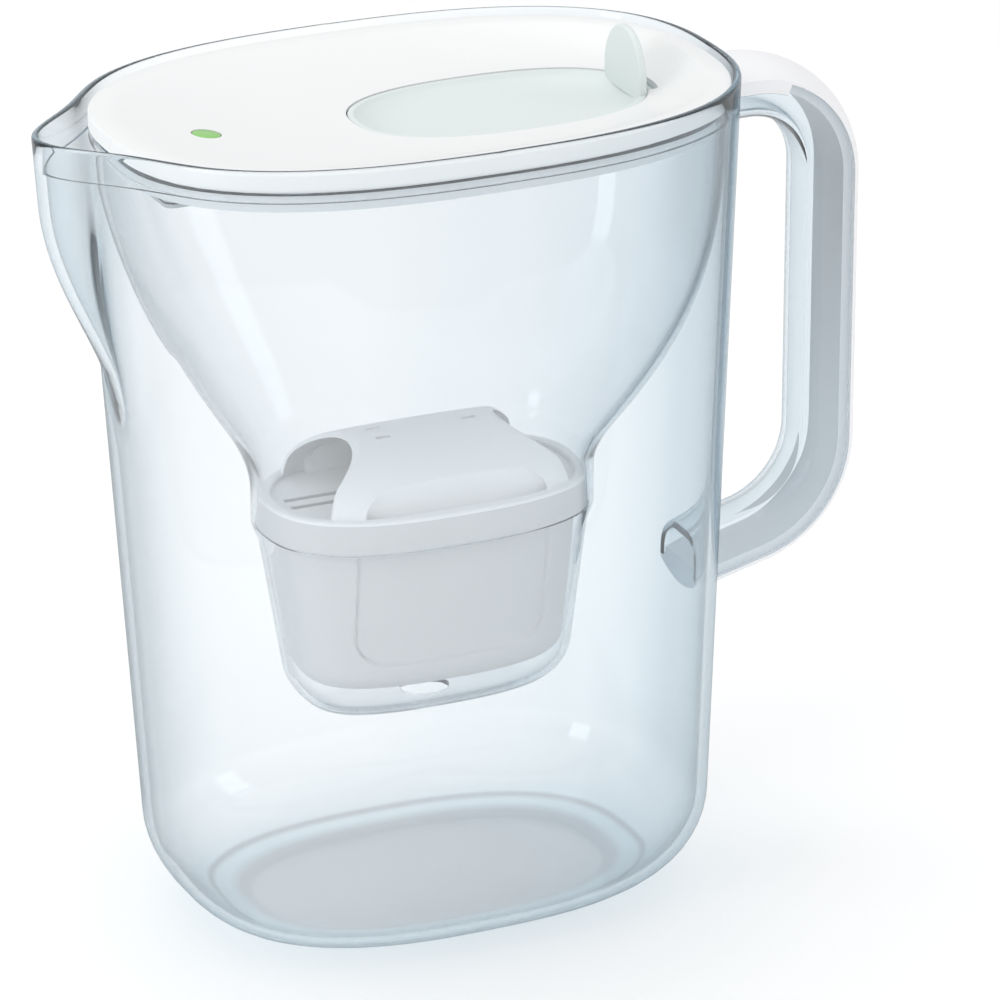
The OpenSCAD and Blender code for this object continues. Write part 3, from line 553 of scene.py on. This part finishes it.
    body.inputs["Color"].default_value = depth_colour
    body.inputs["Density"].default_value = depth
    link(material, choose.outputs["Shader"], nodes["Material Output"].inputs["Surface"])
    link(material, body.outputs["Volume"], nodes["Material Output"].inputs["Volume"])
    return material


def finish_piece(piece, material, body, slot, *nodes):
    """Gives a piece its material and its body, and hides the construction nodes that it stands for."""
    piece.data.materials.clear()
    piece.data.materials.append(material)
    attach(piece, body)
    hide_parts(*nodes)


jug_plastic = clear_plastic(
    "jug_clear",
    tint=(0.99, 0.993, 0.996, 1.0),
    painted_edge_shade=(0.28, 0.40, 0.48, 1.0),
    painted_side_shade=(0.915, 0.945, 0.962, 1.0),
    painted_line_strength=0.9,
    depth_colour=(0.62, 0.79, 0.87, 1.0),
    depth=26.0,
    ripple=0.02)
jug = jug_shell()
channel = handle_skin("channel", channel_section(0.0), channel_section(head_depth))
combine(channel, wall_block(jug_wall / 2), "DIFFERENCE")
combine(jug, channel, "UNION")
jug.name = "jug_moulding"
finish_piece(jug, jug_plastic, "pitcher", "clear_plastic", "jug", "handle_frame")

# ---- Handle grip
# A crowned strip of soft white plastic, pressed into the open side of the channel, which
# widens to a full-depth head over the top bar.
grip_crown = 0.0055
grip_edge = 0.0012
grip_tongue = 0.003
grip_corner = 0.0007
corner_share = 0.3


def grip_section(seat, depth):
    """The strip's section: a crown outside and a tongue that reaches into the channel."""
    sagitta = grip_crown - grip_edge
    r = (handle_width ** 2 / 4 + sagitta ** 2) / (2 * sagitta)
    spread = math.degrees(math.asin(handle_width / 2 / r))
    tongue_y = handle_width / 2 - channel_wall - grip_gap
    crown = arc(grip_crown - r, 0.0, r, -spread, spread, 18)
    crown[0] = (crown[0][0] - grip_corner * corner_share, crown[0][1])
    crown[-1] = (crown[-1][0] - grip_corner * corner_share, crown[-1][1])
    low = [
        (grip_gap / 2 - seat, handle_width / 2),
        (grip_gap - seat, tongue_y),
        (-depth, tongue_y - grip_gap)]
    return crown + both_sides(low)


def effect_group(name, sockets_in, sockets_out):
    """An empty shader node group with named inputs and outputs."""
    group = bpy.data.node_groups.new(name, "ShaderNodeTree")
    for label, kind, value in sockets_in:
        socket = group.interface.new_socket(name=label, in_out="INPUT", socket_type=kind)
        socket.default_value = value
    for label, kind in sockets_out:
        group.interface.new_socket(name=label, in_out="OUTPUT", socket_type=kind)
    inside = group.nodes.new("NodeGroupInput")
    outside = group.nodes.new("NodeGroupOutput")
    return group, inside, outside


def moulded_skin_group():
    """The skin of moulded plastic: cloudy colour, a fine spark-eroded grain, uneven gloss."""
    group, inside, outside = effect_group(
        "moulded_skin",
        [("Colour", "NodeSocketColor", (0.9, 0.9, 0.9, 1.0)),
         ("Shade", "NodeSocketColor", (0.8, 0.8, 0.8, 1.0)),
         ("Grain Size", "NodeSocketFloat", 1500.0),
         ("Gloss Low", "NodeSocketFloat", 0.3),
         ("Gloss High", "NodeSocketFloat", 0.4)],
        [("Colour", "NodeSocketColor"), ("Roughness", "NodeSocketFloat"), ("Height", "NodeSocketFloat")])
    nodes = group.nodes
    place = nodes.new("ShaderNodeTexCoord")
    cloud = nodes.new("ShaderNodeTexNoise")
    cloud.inputs["Scale"].default_value = 22.0
    cloud.inputs["Detail"].default_value = 4.0
    tone = nodes.new("ShaderNodeMix")
    tone.data_type = "RGBA"
    grain = nodes.new("ShaderNodeTexNoise")
    grain.inputs["Detail"].default_value = 2.0
    gloss = nodes.new("ShaderNodeMapRange")
    wire = group.links.new
    wire(place.outputs["Object"], cloud.inputs["Vector"])
    wire(place.outputs["Object"], grain.inputs["Vector"])
    wire(inside.outputs["Grain Size"], grain.inputs["Scale"])
    wire(cloud.outputs["Fac"], tone.inputs["Factor"])
    wire(inside.outputs["Colour"], tone.inputs["A"])
    wire(inside.outputs["Shade"], tone.inputs["B"])
    wire(cloud.outputs["Fac"], gloss.inputs["Value"])
    wire(inside.outputs["Gloss Low"], gloss.inputs["To Min"])
    wire(inside.outputs["Gloss High"], gloss.inputs["To Max"])
    wire(tone.outputs["Result"], outside.inputs["Colour"])
    wire(gloss.outputs["Result"], outside.inputs["Roughness"])
    wire(grain.outputs["Fac"], outside.inputs["Height"])
    return group


moulded_skin = moulded_skin_group()


def moulded_plastic(name, colour, shade, gloss, grain=0.12, grain_size=1500.0, metallic=0.0):
    """Opaque moulded plastic, rubber or plated metal with the moulded skin on it."""
    material = bpy.data.materials.new(name)
    material.use_nodes = True
    nodes = material.node_tree.nodes
    shader = nodes["Principled BSDF"]
    shader.inputs["Metallic"].default_value = metallic
    skin = nodes.new("ShaderNodeGroup")
    skin.node_tree = moulded_skin
    skin.inputs["Colour"].default_value = (*colour, 1.0)
    skin.inputs["Shade"].default_value = (*shade, 1.0)
    skin.inputs["Grain Size"].default_value = grain_size
    skin.inputs["Gloss Low"].default_value = gloss[0]
    skin.inputs["Gloss High"].default_value = gloss[1]
    bump = nodes.new("ShaderNodeBump")
    bump.inputs["Strength"].default_value = grain
    bump.inputs["Distance"].default_value = 0.0001
    link(material, skin.outputs["Colour"], shader.inputs["Base Color"])
    link(material, skin.outputs["Roughness"], shader.inputs["Roughness"])
    link(material, skin.outputs["Height"], bump.inputs["Height"])
    link(material, bump.outputs["Normal"], shader.inputs["Normal"])
    return material


grip_plastic = moulded_plastic("grip_white", (0.84, 0.84, 0.855), (0.81, 0.81, 0.83), (0.38, 0.5), 0.2)
grip = handle_skin(
    "handle_grip_strip", grip_section(0.0, grip_tongue),
    grip_section(head_depth, head_depth + grip_gap))
combine(grip, wall_block(-grip_gap), "DIFFERENCE")
finish_piece(grip, grip_plastic, "pitcher", "grip_plastic", "handle_grip")

# ---- Hopper
# A clear moulding that hangs by its flange on the ledge inside the jug's collar, closes down
# to a neck and ends in the well that the cartridge drops into.
flange_top_z = 0.2636
flange_gap = 0.0005
hopper_gap = 0.0008
hopper_wall = 0.0022
neck_z = 0.152
neck_blend = 0.008
blend_reach = 0.013
flare_crowding = 1.2
well_z = 0.0675
well_draft = 0.13
well_side_draft = 0.15
well_lean = 0.024
well_x = 0.003
well_power = 2.6
well_edge = 0.0145
front_curve = 1.65
back_curve = 2.9
side_curve = 1.7
outlet_radius = 0.008
band_half_length = 0.0527
band_half_width = 0.032
seat_z = 0.1308
seat_step = 0.0013
seat_slope = 0.006
cartridge_gap = 0.0004
around_mouth = 224
mouth_a = body_half_length(ledge_z) - collar_wall
mouth_b = body_half_width(ledge_z) - collar_wall
mouth_x = body_middle(ledge_z)
flange_in = jug_wall - collar_wall + hopper_gap + hopper_wall


def oval(a, b, power, x, z, count):
    ring = []
    for i in range(count):
        turn = 2.0 * math.pi * i / count
        ring.append((x + a * bow(math.cos(turn), power), b * bow(math.sin(turn), power), z))
    return ring


def mouth(inset, z):
    return oval(mouth_a - inset, mouth_b - inset, oval_power, mouth_x, z, around_mouth)


def flare(top, low, power, z):
    return low + (top - low) * (1.0 - (1.0 - (z - neck_z) / (ledge_z - neck_z)) ** power)


well_a = band_half_length + cartridge_gap + hopper_wall
well_b = band_half_width + cartridge_gap + hopper_wall


def hopper_ring(z, inset):
    """The flare's outline at a height: each end and the sides close in by their own curve."""
    share = max(z - neck_z, 0.0) / (ledge_z - neck_z)
    top_a = mouth_a - flange_in + hopper_wall
    top_b = mouth_b - flange_in + hopper_wall
    back = soft_max(flare(mouth_x + top_a, well_x + well_a, back_curve, z), well_x + well_a, neck_blend)
    front = flare(mouth_x - top_a, well_x - well_a, front_curve, z)
    front = -soft_max(-front, well_a - well_x, neck_blend)
    side = soft_max(flare(top_b, well_b, side_curve, z), well_b, neck_blend)
    power = well_power + (oval_power - well_power) * share
    return oval((back - front) / 2 - inset, side - inset, power, (back + front) / 2, z, around_mouth)


def well_ring(z, inset):
    depth = max(seat_z - z, 0.0)
    a = well_a - inset - well_draft * depth
    b = well_b - inset - well_side_draft * depth
    return oval(a, b, well_power, well_x + well_lean * depth, z, around_mouth)


def well_edge_ring(share, inset):
    turn = math.pi / 2 * share
    r = well_edge - inset
    drawn = seat_step + inset + r * (1.0 - math.sin(turn))
    return well_ring(well_z + well_edge - r * math.cos(turn), drawn)


def disc_tool(x, y, z, r, height, count=48):
    """An upright round bar that cuts a hole."""
    rings = [[(x + r * math.cos(2 * math.pi * i / count), y + r * math.sin(2 * math.pi * i / count), h)
              for i in range(count)] for h in (z, z + height)]
    return loft("disc_tool", rings)


edge_shares = steps(0.0, 1.0, 10)
blend_z = neck_z - blend_reach
flare_z = [blend_z + (ledge_z - blend_z) * s ** flare_crowding for s in steps(0.0, 1.0, 56)]
outside = [well_edge_ring(s, 0.0) for s in edge_shares]
outside += [well_ring(seat_z - seat_slope, seat_step), well_ring(seat_z, 0.0)]
outside += [hopper_ring(z, 0.0) for z in flare_z]
outside += [mouth(flange_gap, ledge_z), mouth(flange_gap, flange_top_z)]
inside = [mouth(flange_in, flange_top_z)]
inside += [hopper_ring(z, hopper_wall) for z in reversed(flare_z)]
inside += [well_ring(seat_z, hopper_wall), well_ring(seat_z, hopper_wall + seat_step)]
inside += [well_edge_ring(s, hopper_wall) for s in reversed(edge_shares)]
hopper = loft("hopper_moulding", outside + inside)
combine(hopper, disc_tool(well_x, 0.0, well_z - 0.001, outlet_radius, 0.005), "DIFFERENCE")
hopper_plastic = clear_plastic(
    "hopper_clear",
    tint=(0.99, 0.993, 0.995, 1.0),
    painted_edge_shade=(0.56, 0.63, 0.69, 1.0),
    painted_side_shade=(0.98, 0.985, 0.99, 1.0),
    painted_line_strength=0.5,
    depth_colour=(0.68, 0.78, 0.84, 1.0),
    depth=15.0,
    ripple=0.02)
finish_piece(hopper, hopper_plastic, "funnel", "hopper_plastic", "hopper")

# ---- Lid
# A white moulding with a flat border and a shallow dish that falls to the oval fill opening;
# it snaps over the lid base, which carries the hinge and the indicator's case.
lid_top_z = rim_z - 0.002
lid_edge_z = lid_top_z - 0.005
lid_gap = 0.0005
lid_border = 0.0065
dish_depth = 0.0074
dish_power = 1.9
cover_t = 0.002
cover_lip_t = 0.0016
edge_soft = 0.0007
dish_z = lid_top_z - dish_depth
flap_x = 0.0295
opening_a = 0.049
opening_b = 0.028
flap_power = 2.4
indicator_x = 0.0683
button_r = 0.0045
button_gap = 0.00025


def opening(inset, z):
    return oval(opening_a - inset, opening_b - inset, flap_power, flap_x, z, around_mouth)


def between(from_ring, to_ring, share, z):
    """A ring at a height, a share of the way from one outline to another."""
    return [(p[0] * (1 - share) + q[0] * share, p[1] * (1 - share) + q[1] * share, z)
            for p, q in zip(from_ring, to_ring)]


def dish_height(share):
    return dish_z + dish_depth * (1.0 - share) ** dish_power


def lid_cover():
    """The cover as one closed skin: edge, border, dish, and back along the under side."""
    border = mouth(lid_gap + lid_border, lid_top_z)
    mouth_edge = opening(0.0, dish_z)
    rings = [mouth(lid_gap, lid_edge_z)]
    for share in steps(0.0, 1.0, 5):
        turn = math.pi / 2 * share
        rings.append(mouth(
            lid_gap + edge_soft * (1.0 - math.cos(turn)), lid_top_z - edge_soft * (1.0 - math.sin(turn))))
    for share in steps(0.0, 1.0, 26):
        rings.append(between(border, mouth_edge, share, dish_height(share)))
    for share in reversed(steps(0.0, 1.0, 26)):
        t = cover_t + (cover_lip_t - cover_t) * share
        rings.append(between(border, mouth_edge, share, dish_height(share) - t))
    rings.append(mouth(lid_gap + cover_t, lid_top_z - cover_t))
    rings.append(mouth(lid_gap + cover_t, lid_edge_z))
    return loft("lid_top", rings, closed=True)


neck_width = 0.012
notch_half = 0.009
notch_width = 0.0034


def notch_tool():
    """The crescent behind the flap: the end of the opening's oval, moved towards the handle."""
    end = [(x, y) for x, y, z in opening(0.0, 0.0) if abs(y) <= notch_half and x > flap_x]
    outline = [(x + notch_width, y) for x, y in end]
    outline.sort(key=lambda p: p[1])
    outline = [(flap_x, -notch_half)] + outline + [(flap_x, notch_half)]
    return loft("notch_tool", [[(x, y, z) for x, y in outline] for z in (dish_z - 0.002, dish_z + 0.006)])


lid_white = moulded_plastic("lid_white", (0.81, 0.82, 0.82), (0.79, 0.80, 0.805), (0.28, 0.36), 0.1)
lid = lid_cover()
combine(lid, disc_tool(-indicator_x, 0.0, dish_z - 0.001, button_r + button_gap, 0.012, 96), "DIFFERENCE")
combine(lid, notch_tool(), "DIFFERENCE")
finish_piece(lid, lid_white, "lid", "lid_plastic", "lid_cover")


def dress(node, material):
    """Gives a construction node that stays in the picture its real finish."""
    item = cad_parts[node]
    item.data.materials.clear()
    item.data.materials.append(material)


base_white = moulded_plastic("lid_base_white", (0.76, 0.77, 0.78), (0.73, 0.74, 0.75), (0.35, 0.45), 0.12)
dress("lid_base", base_white)

# ---- Fill flap
# A pale, shallow dish with an upright thumb fin, which closes the fill opening and swings up
# on two pins behind it.
flap_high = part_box("fill_flap")[1]
flap_top_z = dish_z - 0.0002
flap_gap = 0.0004
flap_rim_t = 0.0018
flap_dish = 0.0044
flap_t = 0.0016
hinge_x = 0.0816
hinge_z = 0.2593
fin_top_z = flap_high.z
fin_width = 0.0264
fin_t = 0.0026
fin_inset = 0.005
fin_root = 0.0022
fin_shoulder = 0.19
fin_rounding = 0.0008
neck_reach = 0.010
barrel_r = 0.0014
pin_r = 0.0011
pin_reach = 0.0036
around_flap = 160


def flap_ring(inset, z):
    a = opening_a - flap_gap - inset
    b = opening_b - flap_gap - inset
    return oval(a, b, flap_power, flap_x, z, around_flap)


def smooth_run(points, count):
    """A smooth curve through a run of (inset, height) points."""
    run = []
    for i in range(len(points) - 1):
        before = points[max(i - 1, 0)]
        after = points[min(i + 2, len(points) - 1)]
        start, end = points[i], points[i + 1]
        for share in steps(0.0, 1.0, count)[:-1]:
            s2, s3 = share * share, share ** 3
            run.append(tuple(
                0.5 * (2 * start[n] + (end[n] - before[n]) * share
                       + (2 * before[n] - 5 * start[n] + 4 * end[n] - after[n]) * s2
                       + (3 * start[n] - before[n] - 3 * end[n] + after[n]) * s3)
                for n in (0, 1)))
    run.append(points[-1])
    return run


def flap_shell():
    """The flap's dish: under side, rim and bowl, as (inset, height) runs round the oval."""
    floor_z = flap_top_z - flap_dish
    under_z = flap_top_z - flap_rim_t
    bowl = smooth_run([
        (0.0018, flap_top_z), (0.0038, floor_z + 0.64 * flap_dish), (0.008, floor_z + 0.24 * flap_dish),
        (0.013, floor_z + 0.0002), (0.020, floor_z)], 6)
    under = smooth_run([
        (0.020, floor_z - flap_t), (0.0125, floor_z - flap_t + 0.0002),
        (0.0075, floor_z - flap_t + 0.0011), (0.0040, under_z - 0.001), (0.0028, under_z)], 5)
    rim = [
        (0.001, under_z), (0.0, flap_top_z - 0.0004), (0.0001, flap_top_z - 0.00012),
        (0.0004, flap_top_z)]
    return loft("fill_flap_dish", [flap_ring(inset, z) for inset, z in under + rim + bowl])


def round_edges(piece, radius, count, angle=45):
    """Rounds the edges of a piece that are sharper than an angle."""
    bevel = piece.modifiers.new("round", "BEVEL")
    bevel.width = radius
    bevel.segments = count
    bevel.limit_method = "ANGLE"
    bevel.angle_limit = math.radians(angle)
    settle(piece)
    soften(piece)
    return piece


def fin_blade():
    """The thumb fin: straight sides closed by half an ellipse, with rounded edges."""
    foot_z = flap_top_z - fin_root
    shoulder_z = flap_top_z + (fin_top_z - flap_top_z) * fin_shoulder
    outline = [(-fin_width / 2, foot_z), (fin_width / 2, foot_z)]
    outline += [
        (fin_width / 2 * math.cos(turn), shoulder_z + (fin_top_z - shoulder_z) * math.sin(turn))
        for turn in steps(0.0, math.pi, 44)]
    x = flap_x + opening_a - fin_inset
    blade = loft("fin", [[(x + side * fin_t / 2, y, z) for y, z in outline] for side in (-1, 1)])
    round_edges(blade, fin_rounding, 4)
    return blade


def block_tool(low, high):
    """A square block between two corners."""
    rings = [[(low[0], low[1], z), (high[0], low[1], z), (high[0], high[1], z), (low[0], high[1], z)]
             for z in (low[2], high[2])]
    return loft("block", rings)


def rod(x, z, r, half, count=32):
    """A rod along Y, such as a hinge pin."""
    rings = [[(x + r * math.cos(2 * math.pi * i / count), y, z + r * math.sin(2 * math.pi * i / count))
              for i in range(count)] for y in (-half, half)]
    return loft("rod", rings)


flap_tint = moulded_plastic("flap_pale", (0.69, 0.75, 0.74), (0.67, 0.735, 0.725), (0.30, 0.38), 0.1)
flap = flap_shell()
combine(flap, fin_blade(), "UNION")
neck = block_tool(
    (hinge_x - neck_reach, -neck_width / 2, hinge_z - barrel_r),
    (hinge_x, neck_width / 2, hinge_z + 0.0003))
combine(flap, neck, "UNION")
combine(flap, rod(hinge_x, hinge_z, barrel_r, neck_width / 2), "UNION")
combine(flap, rod(hinge_x, hinge_z, pin_r, notch_half + pin_reach), "UNION")
finish_piece(flap, flap_tint, "flap", "flap_plastic", "fill_flap")

# ---- Filter-change indicator
# A green push button in the dish over a grey case with its board, switch, lamp and coin
# cell, closed from below by a cover on a rubber seal.
button_low, button_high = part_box("indicator_button")
button_skirt = button_high.y
face_run = mouth_a - lid_gap - lid_border - mouth_x - opening_a + flap_x
face_share = (indicator_x - opening_a + flap_x) / face_run
face_z = dish_z + dish_depth * face_share ** dish_power
face_slope = dish_depth * dish_power * face_share ** (dish_power - 1.0) / face_run


def button_ring(r, z, tilt, count=64):
    """A circle about the button's middle, tilted as the dish falls there."""
    ring = []
    for i in range(count):
        turn = 2 * math.pi * i / count
        x = r * math.cos(turn)
        ring.append((x - indicator_x, r * math.sin(turn), z - x * tilt))
    return ring


button = loft("green_button", [
    button_ring(button_skirt, button_low.z, 0.0),
    button_ring(button_skirt, button_low.z + 0.001, 0.0),
    button_ring(button_r, button_low.z + 0.001, 0.0),
    button_ring(button_r, face_z - 0.0005, face_slope),
    button_ring(button_r - 0.00015, face_z - 0.00015, face_slope),
    button_ring(button_r - 0.0005, face_z, face_slope)])
button_green = moulded_plastic("button_green", (0.27, 0.58, 0.16), (0.24, 0.53, 0.14), (0.3, 0.4), 0.08)
finish_piece(button, button_green, "button", "button_plastic", "indicator_button")

case_grey = moulded_plastic("case_grey", (0.52, 0.54, 0.56), (0.48, 0.50, 0.52), (0.4, 0.5))
dress("indicator_case", case_grey)
dress("case_cover", case_grey)
dress("circuit_board", moulded_plastic("board_green", (0.03, 0.16, 0.07), (0.02, 0.12, 0.05), (0.3, 0.4)))
dress("button_switch", moulded_plastic("switch_black", (0.03, 0.03, 0.03), (0.02, 0.02, 0.02), (0.4, 0.5)))
dress("indicator_led", moulded_plastic("led_resin", (0.75, 0.9, 0.7), (0.7, 0.85, 0.65), (0.1, 0.2)))
dress("battery_contacts", moulded_plastic(
    "contact_nickel", (0.62, 0.58, 0.48), (0.55, 0.52, 0.44), (0.25, 0.4), metallic=1.0))
dress("battery_cell", moulded_plastic(
    "cell_steel", (0.62, 0.63, 0.64), (0.55, 0.56, 0.58), (0.25, 0.35), metallic=1.0))
dress("case_seal", moulded_plastic("seal_rubber", (0.05, 0.05, 0.055), (0.04, 0.04, 0.045), (0.6, 0.75)))

# ---- Cartridge
# A white cup with a rim band that sits in the well, closed by a cap with an arched hood and
# inlet slots; two screens hold the granules between them.
band_out = 0.0039
cup_t = 0.0015
cup_draft = 0.09
cup_z = well_z + 0.0115
cup_edge = 0.008
band_top_z = seat_z + 0.010
cup_a = band_half_length - band_out
cup_b = band_half_width - band_out
panel_depth = 0.0011
panel_step = 0.0004
outlet_row = 0.006
outlet_half = 0.0015
outlet_low = 0.008
outlet_high = 0.034
outlet_cut = 0.011
around_cup = 320


def cup_ring(z, inset):
    depth = seat_z - z
    drawn = cup_draft * depth + inset
    return oval(cup_a - drawn, cup_b - drawn, well_power, well_x + well_lean * depth, z, around_cup)


def band_ring(z, inset):
    return oval(band_half_length - inset, band_half_width - inset, well_power, well_x, z, around_cup)


def cup_edge_ring(share, inset):
    turn = math.pi / 2 * share
    r = cup_edge - inset
    return cup_ring(cup_z + cup_edge - r * math.cos(turn), inset + r * (1.0 - math.sin(turn)))


def panel_share(x, z):
    """How far a point of the cup's long side lies inside the pressed panel, from 0 to 1."""
    half = 0.66 * cup_a
    low = cup_z + cup_edge + 0.003
    high = seat_z - 0.0012
    corner = 0.010
    dx = max(abs(x - well_x) - half + corner, 0.0)
    dz = max(low + corner - z, 0.0)
    inside_by = corner - math.hypot(dx, dz) if dx > 0.0 or dz > 0.0 else corner
    inside_by = min(inside_by, high - z)
    return min(max(inside_by / panel_step + 0.5, 0.0), 1.0)


def pressed(ring):
    """A ring of the cup with its long sides pressed in where the panel is."""
    out = []
    for x, y, z in ring:
        depth = panel_depth * panel_share(x, z) if abs(y) > 0.5 * cup_b else 0.0
        out.append((x, y - math.copysign(depth, y), z))
    return out


wall_run = steps(cup_z + cup_edge, seat_z, 56)
cup_skin = [cup_edge_ring(s, 0.0) for s in steps(0.0, 1.0, 10)]
cup_skin += [pressed(cup_ring(z, 0.0)) for z in wall_run[1:]]
cup_skin += [band_ring(seat_z, 0.0006), band_ring(seat_z + 0.0003, 0.0002)]
cup_skin += [band_ring(seat_z + 0.0008, 0.0), band_ring(band_top_z, 0.0)]
cup_skin += [band_ring(band_top_z, cup_t), band_ring(seat_z + cup_t, cup_t)]
cup_skin += [cup_ring(seat_z + cup_t, cup_t)]
cup_skin += [cup_edge_ring(s, cup_t) for s in reversed(steps(0.0, 1.0, 10))]
cup = loft("cartridge_cup_moulding", cup_skin)
for row in (-outlet_row, outlet_row):
    x = well_x + cup_a
    slot = block_tool(
        (x - outlet_cut, row - outlet_half, cup_z + outlet_low),
        (x + outlet_cut, row + outlet_half, cup_z + outlet_high))
    combine(cup, slot, "DIFFERENCE")
cup_white = moulded_plastic("cup_white", (0.735, 0.72, 0.715), (0.705, 0.69, 0.69), (0.38, 0.5), 0.15)
finish_piece(cup, cup_white, "cartridge", "cartridge_plastic", "cartridge_cup")

rim_t = 0.0012
cap_top_z = band_top_z + rim_t
deck_z = cap_top_z - 0.0016
plate_t = 0.0016
tray_in = cup_t + 0.0002
hood_h = 0.0196
hood_top_len = 0.045
hood_half_len = 0.0415
hood_t = 0.0016
hood_power = 1.85
recess_y = 0.0240
arch_half = 0.031
arch_h = 0.0122
arch_power = 2.6
vent_inset = 0.007
vent_row = 0.004
vent_half_len = 0.0025
vent_half_width = 0.0009
vent_cut = 0.005


def hood_section(x, inset, foot):
    """Half an oval across the hood at a place along it, as wide as the tray is there."""
    a = band_half_length - tray_in - 0.0004
    b = band_half_width - tray_in - 0.0004
    wide = b * (1.0 - (abs(x) / a) ** well_power) ** (1.0 / well_power) - inset
    turns = steps(0.0, math.pi, 72)
    high = hood_h - inset
    arch = [(wide * bow(math.cos(t), hood_power), high * bow(math.sin(t), hood_power)) for t in turns]
    return [(well_x + x, y, deck_z + z) for y, z in [(wide, foot)] + arch + [(-wide, foot)]]


def hood_run(name, inset, foot, half):
    return loft(name, [hood_section(x, inset, foot) for x in steps(-half, half, 44)])


def side_arch(name, side, near_y, far_y):
    """A block with an arched top through one long side of the hood."""
    outline = [(-arch_half, -0.003), (arch_half, -0.003)]
    outline += [
        (arch_half * bow(math.cos(t), arch_power), arch_h * bow(math.sin(t), arch_power))
        for t in steps(0.0, math.pi, 48)]
    return loft(name, [[(well_x + x, side * y, deck_z + z) for x, z in outline] for y in (near_y, far_y)])


def end_tool(side):
    """What is cut off an end of the hood, which leans in towards its top."""
    lean = smooth_run([
        (hood_half_len - 0.0005, -0.003), (hood_half_len - 0.003, hood_h * 0.38), (0.0340, hood_h * 0.64),
        (hood_top_len / 2 + 0.0045, hood_h * 0.88), (hood_top_len / 2, hood_h + 0.001)], 6)
    outline = lean + [(0.06, hood_h + 0.001), (0.06, -0.003)]
    return loft("end_tool", [
        [(well_x + side * x, y, deck_z + z) for x, z in outline] for y in (-0.035, 0.035)])


def hood():
    """The hollow hood, with an arch pressed into each long side and vents in its top."""
    arch = hood_run("hood", 0.0, -plate_t / 2, hood_half_len)
    combine(arch, hood_run("hood_tool", hood_t, -plate_t, hood_half_len + 0.001), "DIFFERENCE")
    for side in (-1, 1):
        combine(arch, side_arch("recess", side, recess_y, 0.04), "DIFFERENCE")
        wall = side_arch("recess_wall", side, recess_y - hood_t, recess_y)
        combine(wall, hood_run("hood_limit", 0.0, -plate_t / 2, hood_half_len), "INTERSECT")
        combine(arch, wall, "UNION")
    for side in (-1, 1):
        combine(arch, end_tool(side), "DIFFERENCE")
    for row in (-1, 0, 1):
        x = well_x + (1 if row == 0 else -1) * (hood_top_len / 2 - vent_inset)
        y = row * vent_row
        vent = block_tool(
            (x - vent_half_len, y - vent_half_width, deck_z + hood_h - vent_cut),
            (x + vent_half_len, y + vent_half_width, deck_z + hood_h + vent_cut))
        combine(arch, vent, "DIFFERENCE")
    return arch


tray = loft("tray", [
    band_ring(deck_z - plate_t, tray_in), band_ring(band_top_z, tray_in), band_ring(band_top_z, 0.0),
    band_ring(cap_top_z - 0.0006, 0.0), band_ring(cap_top_z - 0.0002, 0.0002), band_ring(cap_top_z, 0.0006),
    band_ring(cap_top_z, tray_in + plate_t - 0.0004), band_ring(cap_top_z - 0.0004, tray_in + plate_t),
    band_ring(deck_z, tray_in + plate_t)])
slot_len = 0.026
slot_row = 0.0033
slot_half = 0.0012
slot_cut = 0.003
slot_inset = 0.005
for side in (-1, 1):
    for row in (-slot_row, slot_row):
        x = well_x + side * (band_half_length - tray_in - slot_inset - slot_len / 2)
        slot = block_tool(
            (x - slot_len / 2, row - slot_half, deck_z - slot_cut),
            (x + slot_len / 2, row + slot_half, deck_z + slot_cut))
        combine(tray, slot, "DIFFERENCE")
combine(tray, hood(), "UNION")
tray.name = "cartridge_cap_moulding"
# Painted light: the cap is the cup's white plastic, painted lighter where overhead light falls into the
# hopper
cap_painted_lighter = moulded_plastic("cap_painted_lighter", (0.93, 0.915, 0.91), (0.905, 0.89, 0.885), (0.38, 0.5), 0.15)
finish_piece(tray, cap_painted_lighter, "cartridge", "cartridge_plastic", "cartridge_cap")

screen_white = moulded_plastic(
    "screen_mesh", (0.62, 0.62, 0.60), (0.50, 0.50, 0.48), (0.7, 0.8), grain=0.8, grain_size=2500.0)
dress("inlet_screen", screen_white)
dress("outlet_screen", screen_white)
dress("filter_media", moulded_plastic(
    "granules", (0.10, 0.09, 0.08), (0.25, 0.23, 0.20), (0.7, 0.9), grain=1.0, grain_size=900.0))
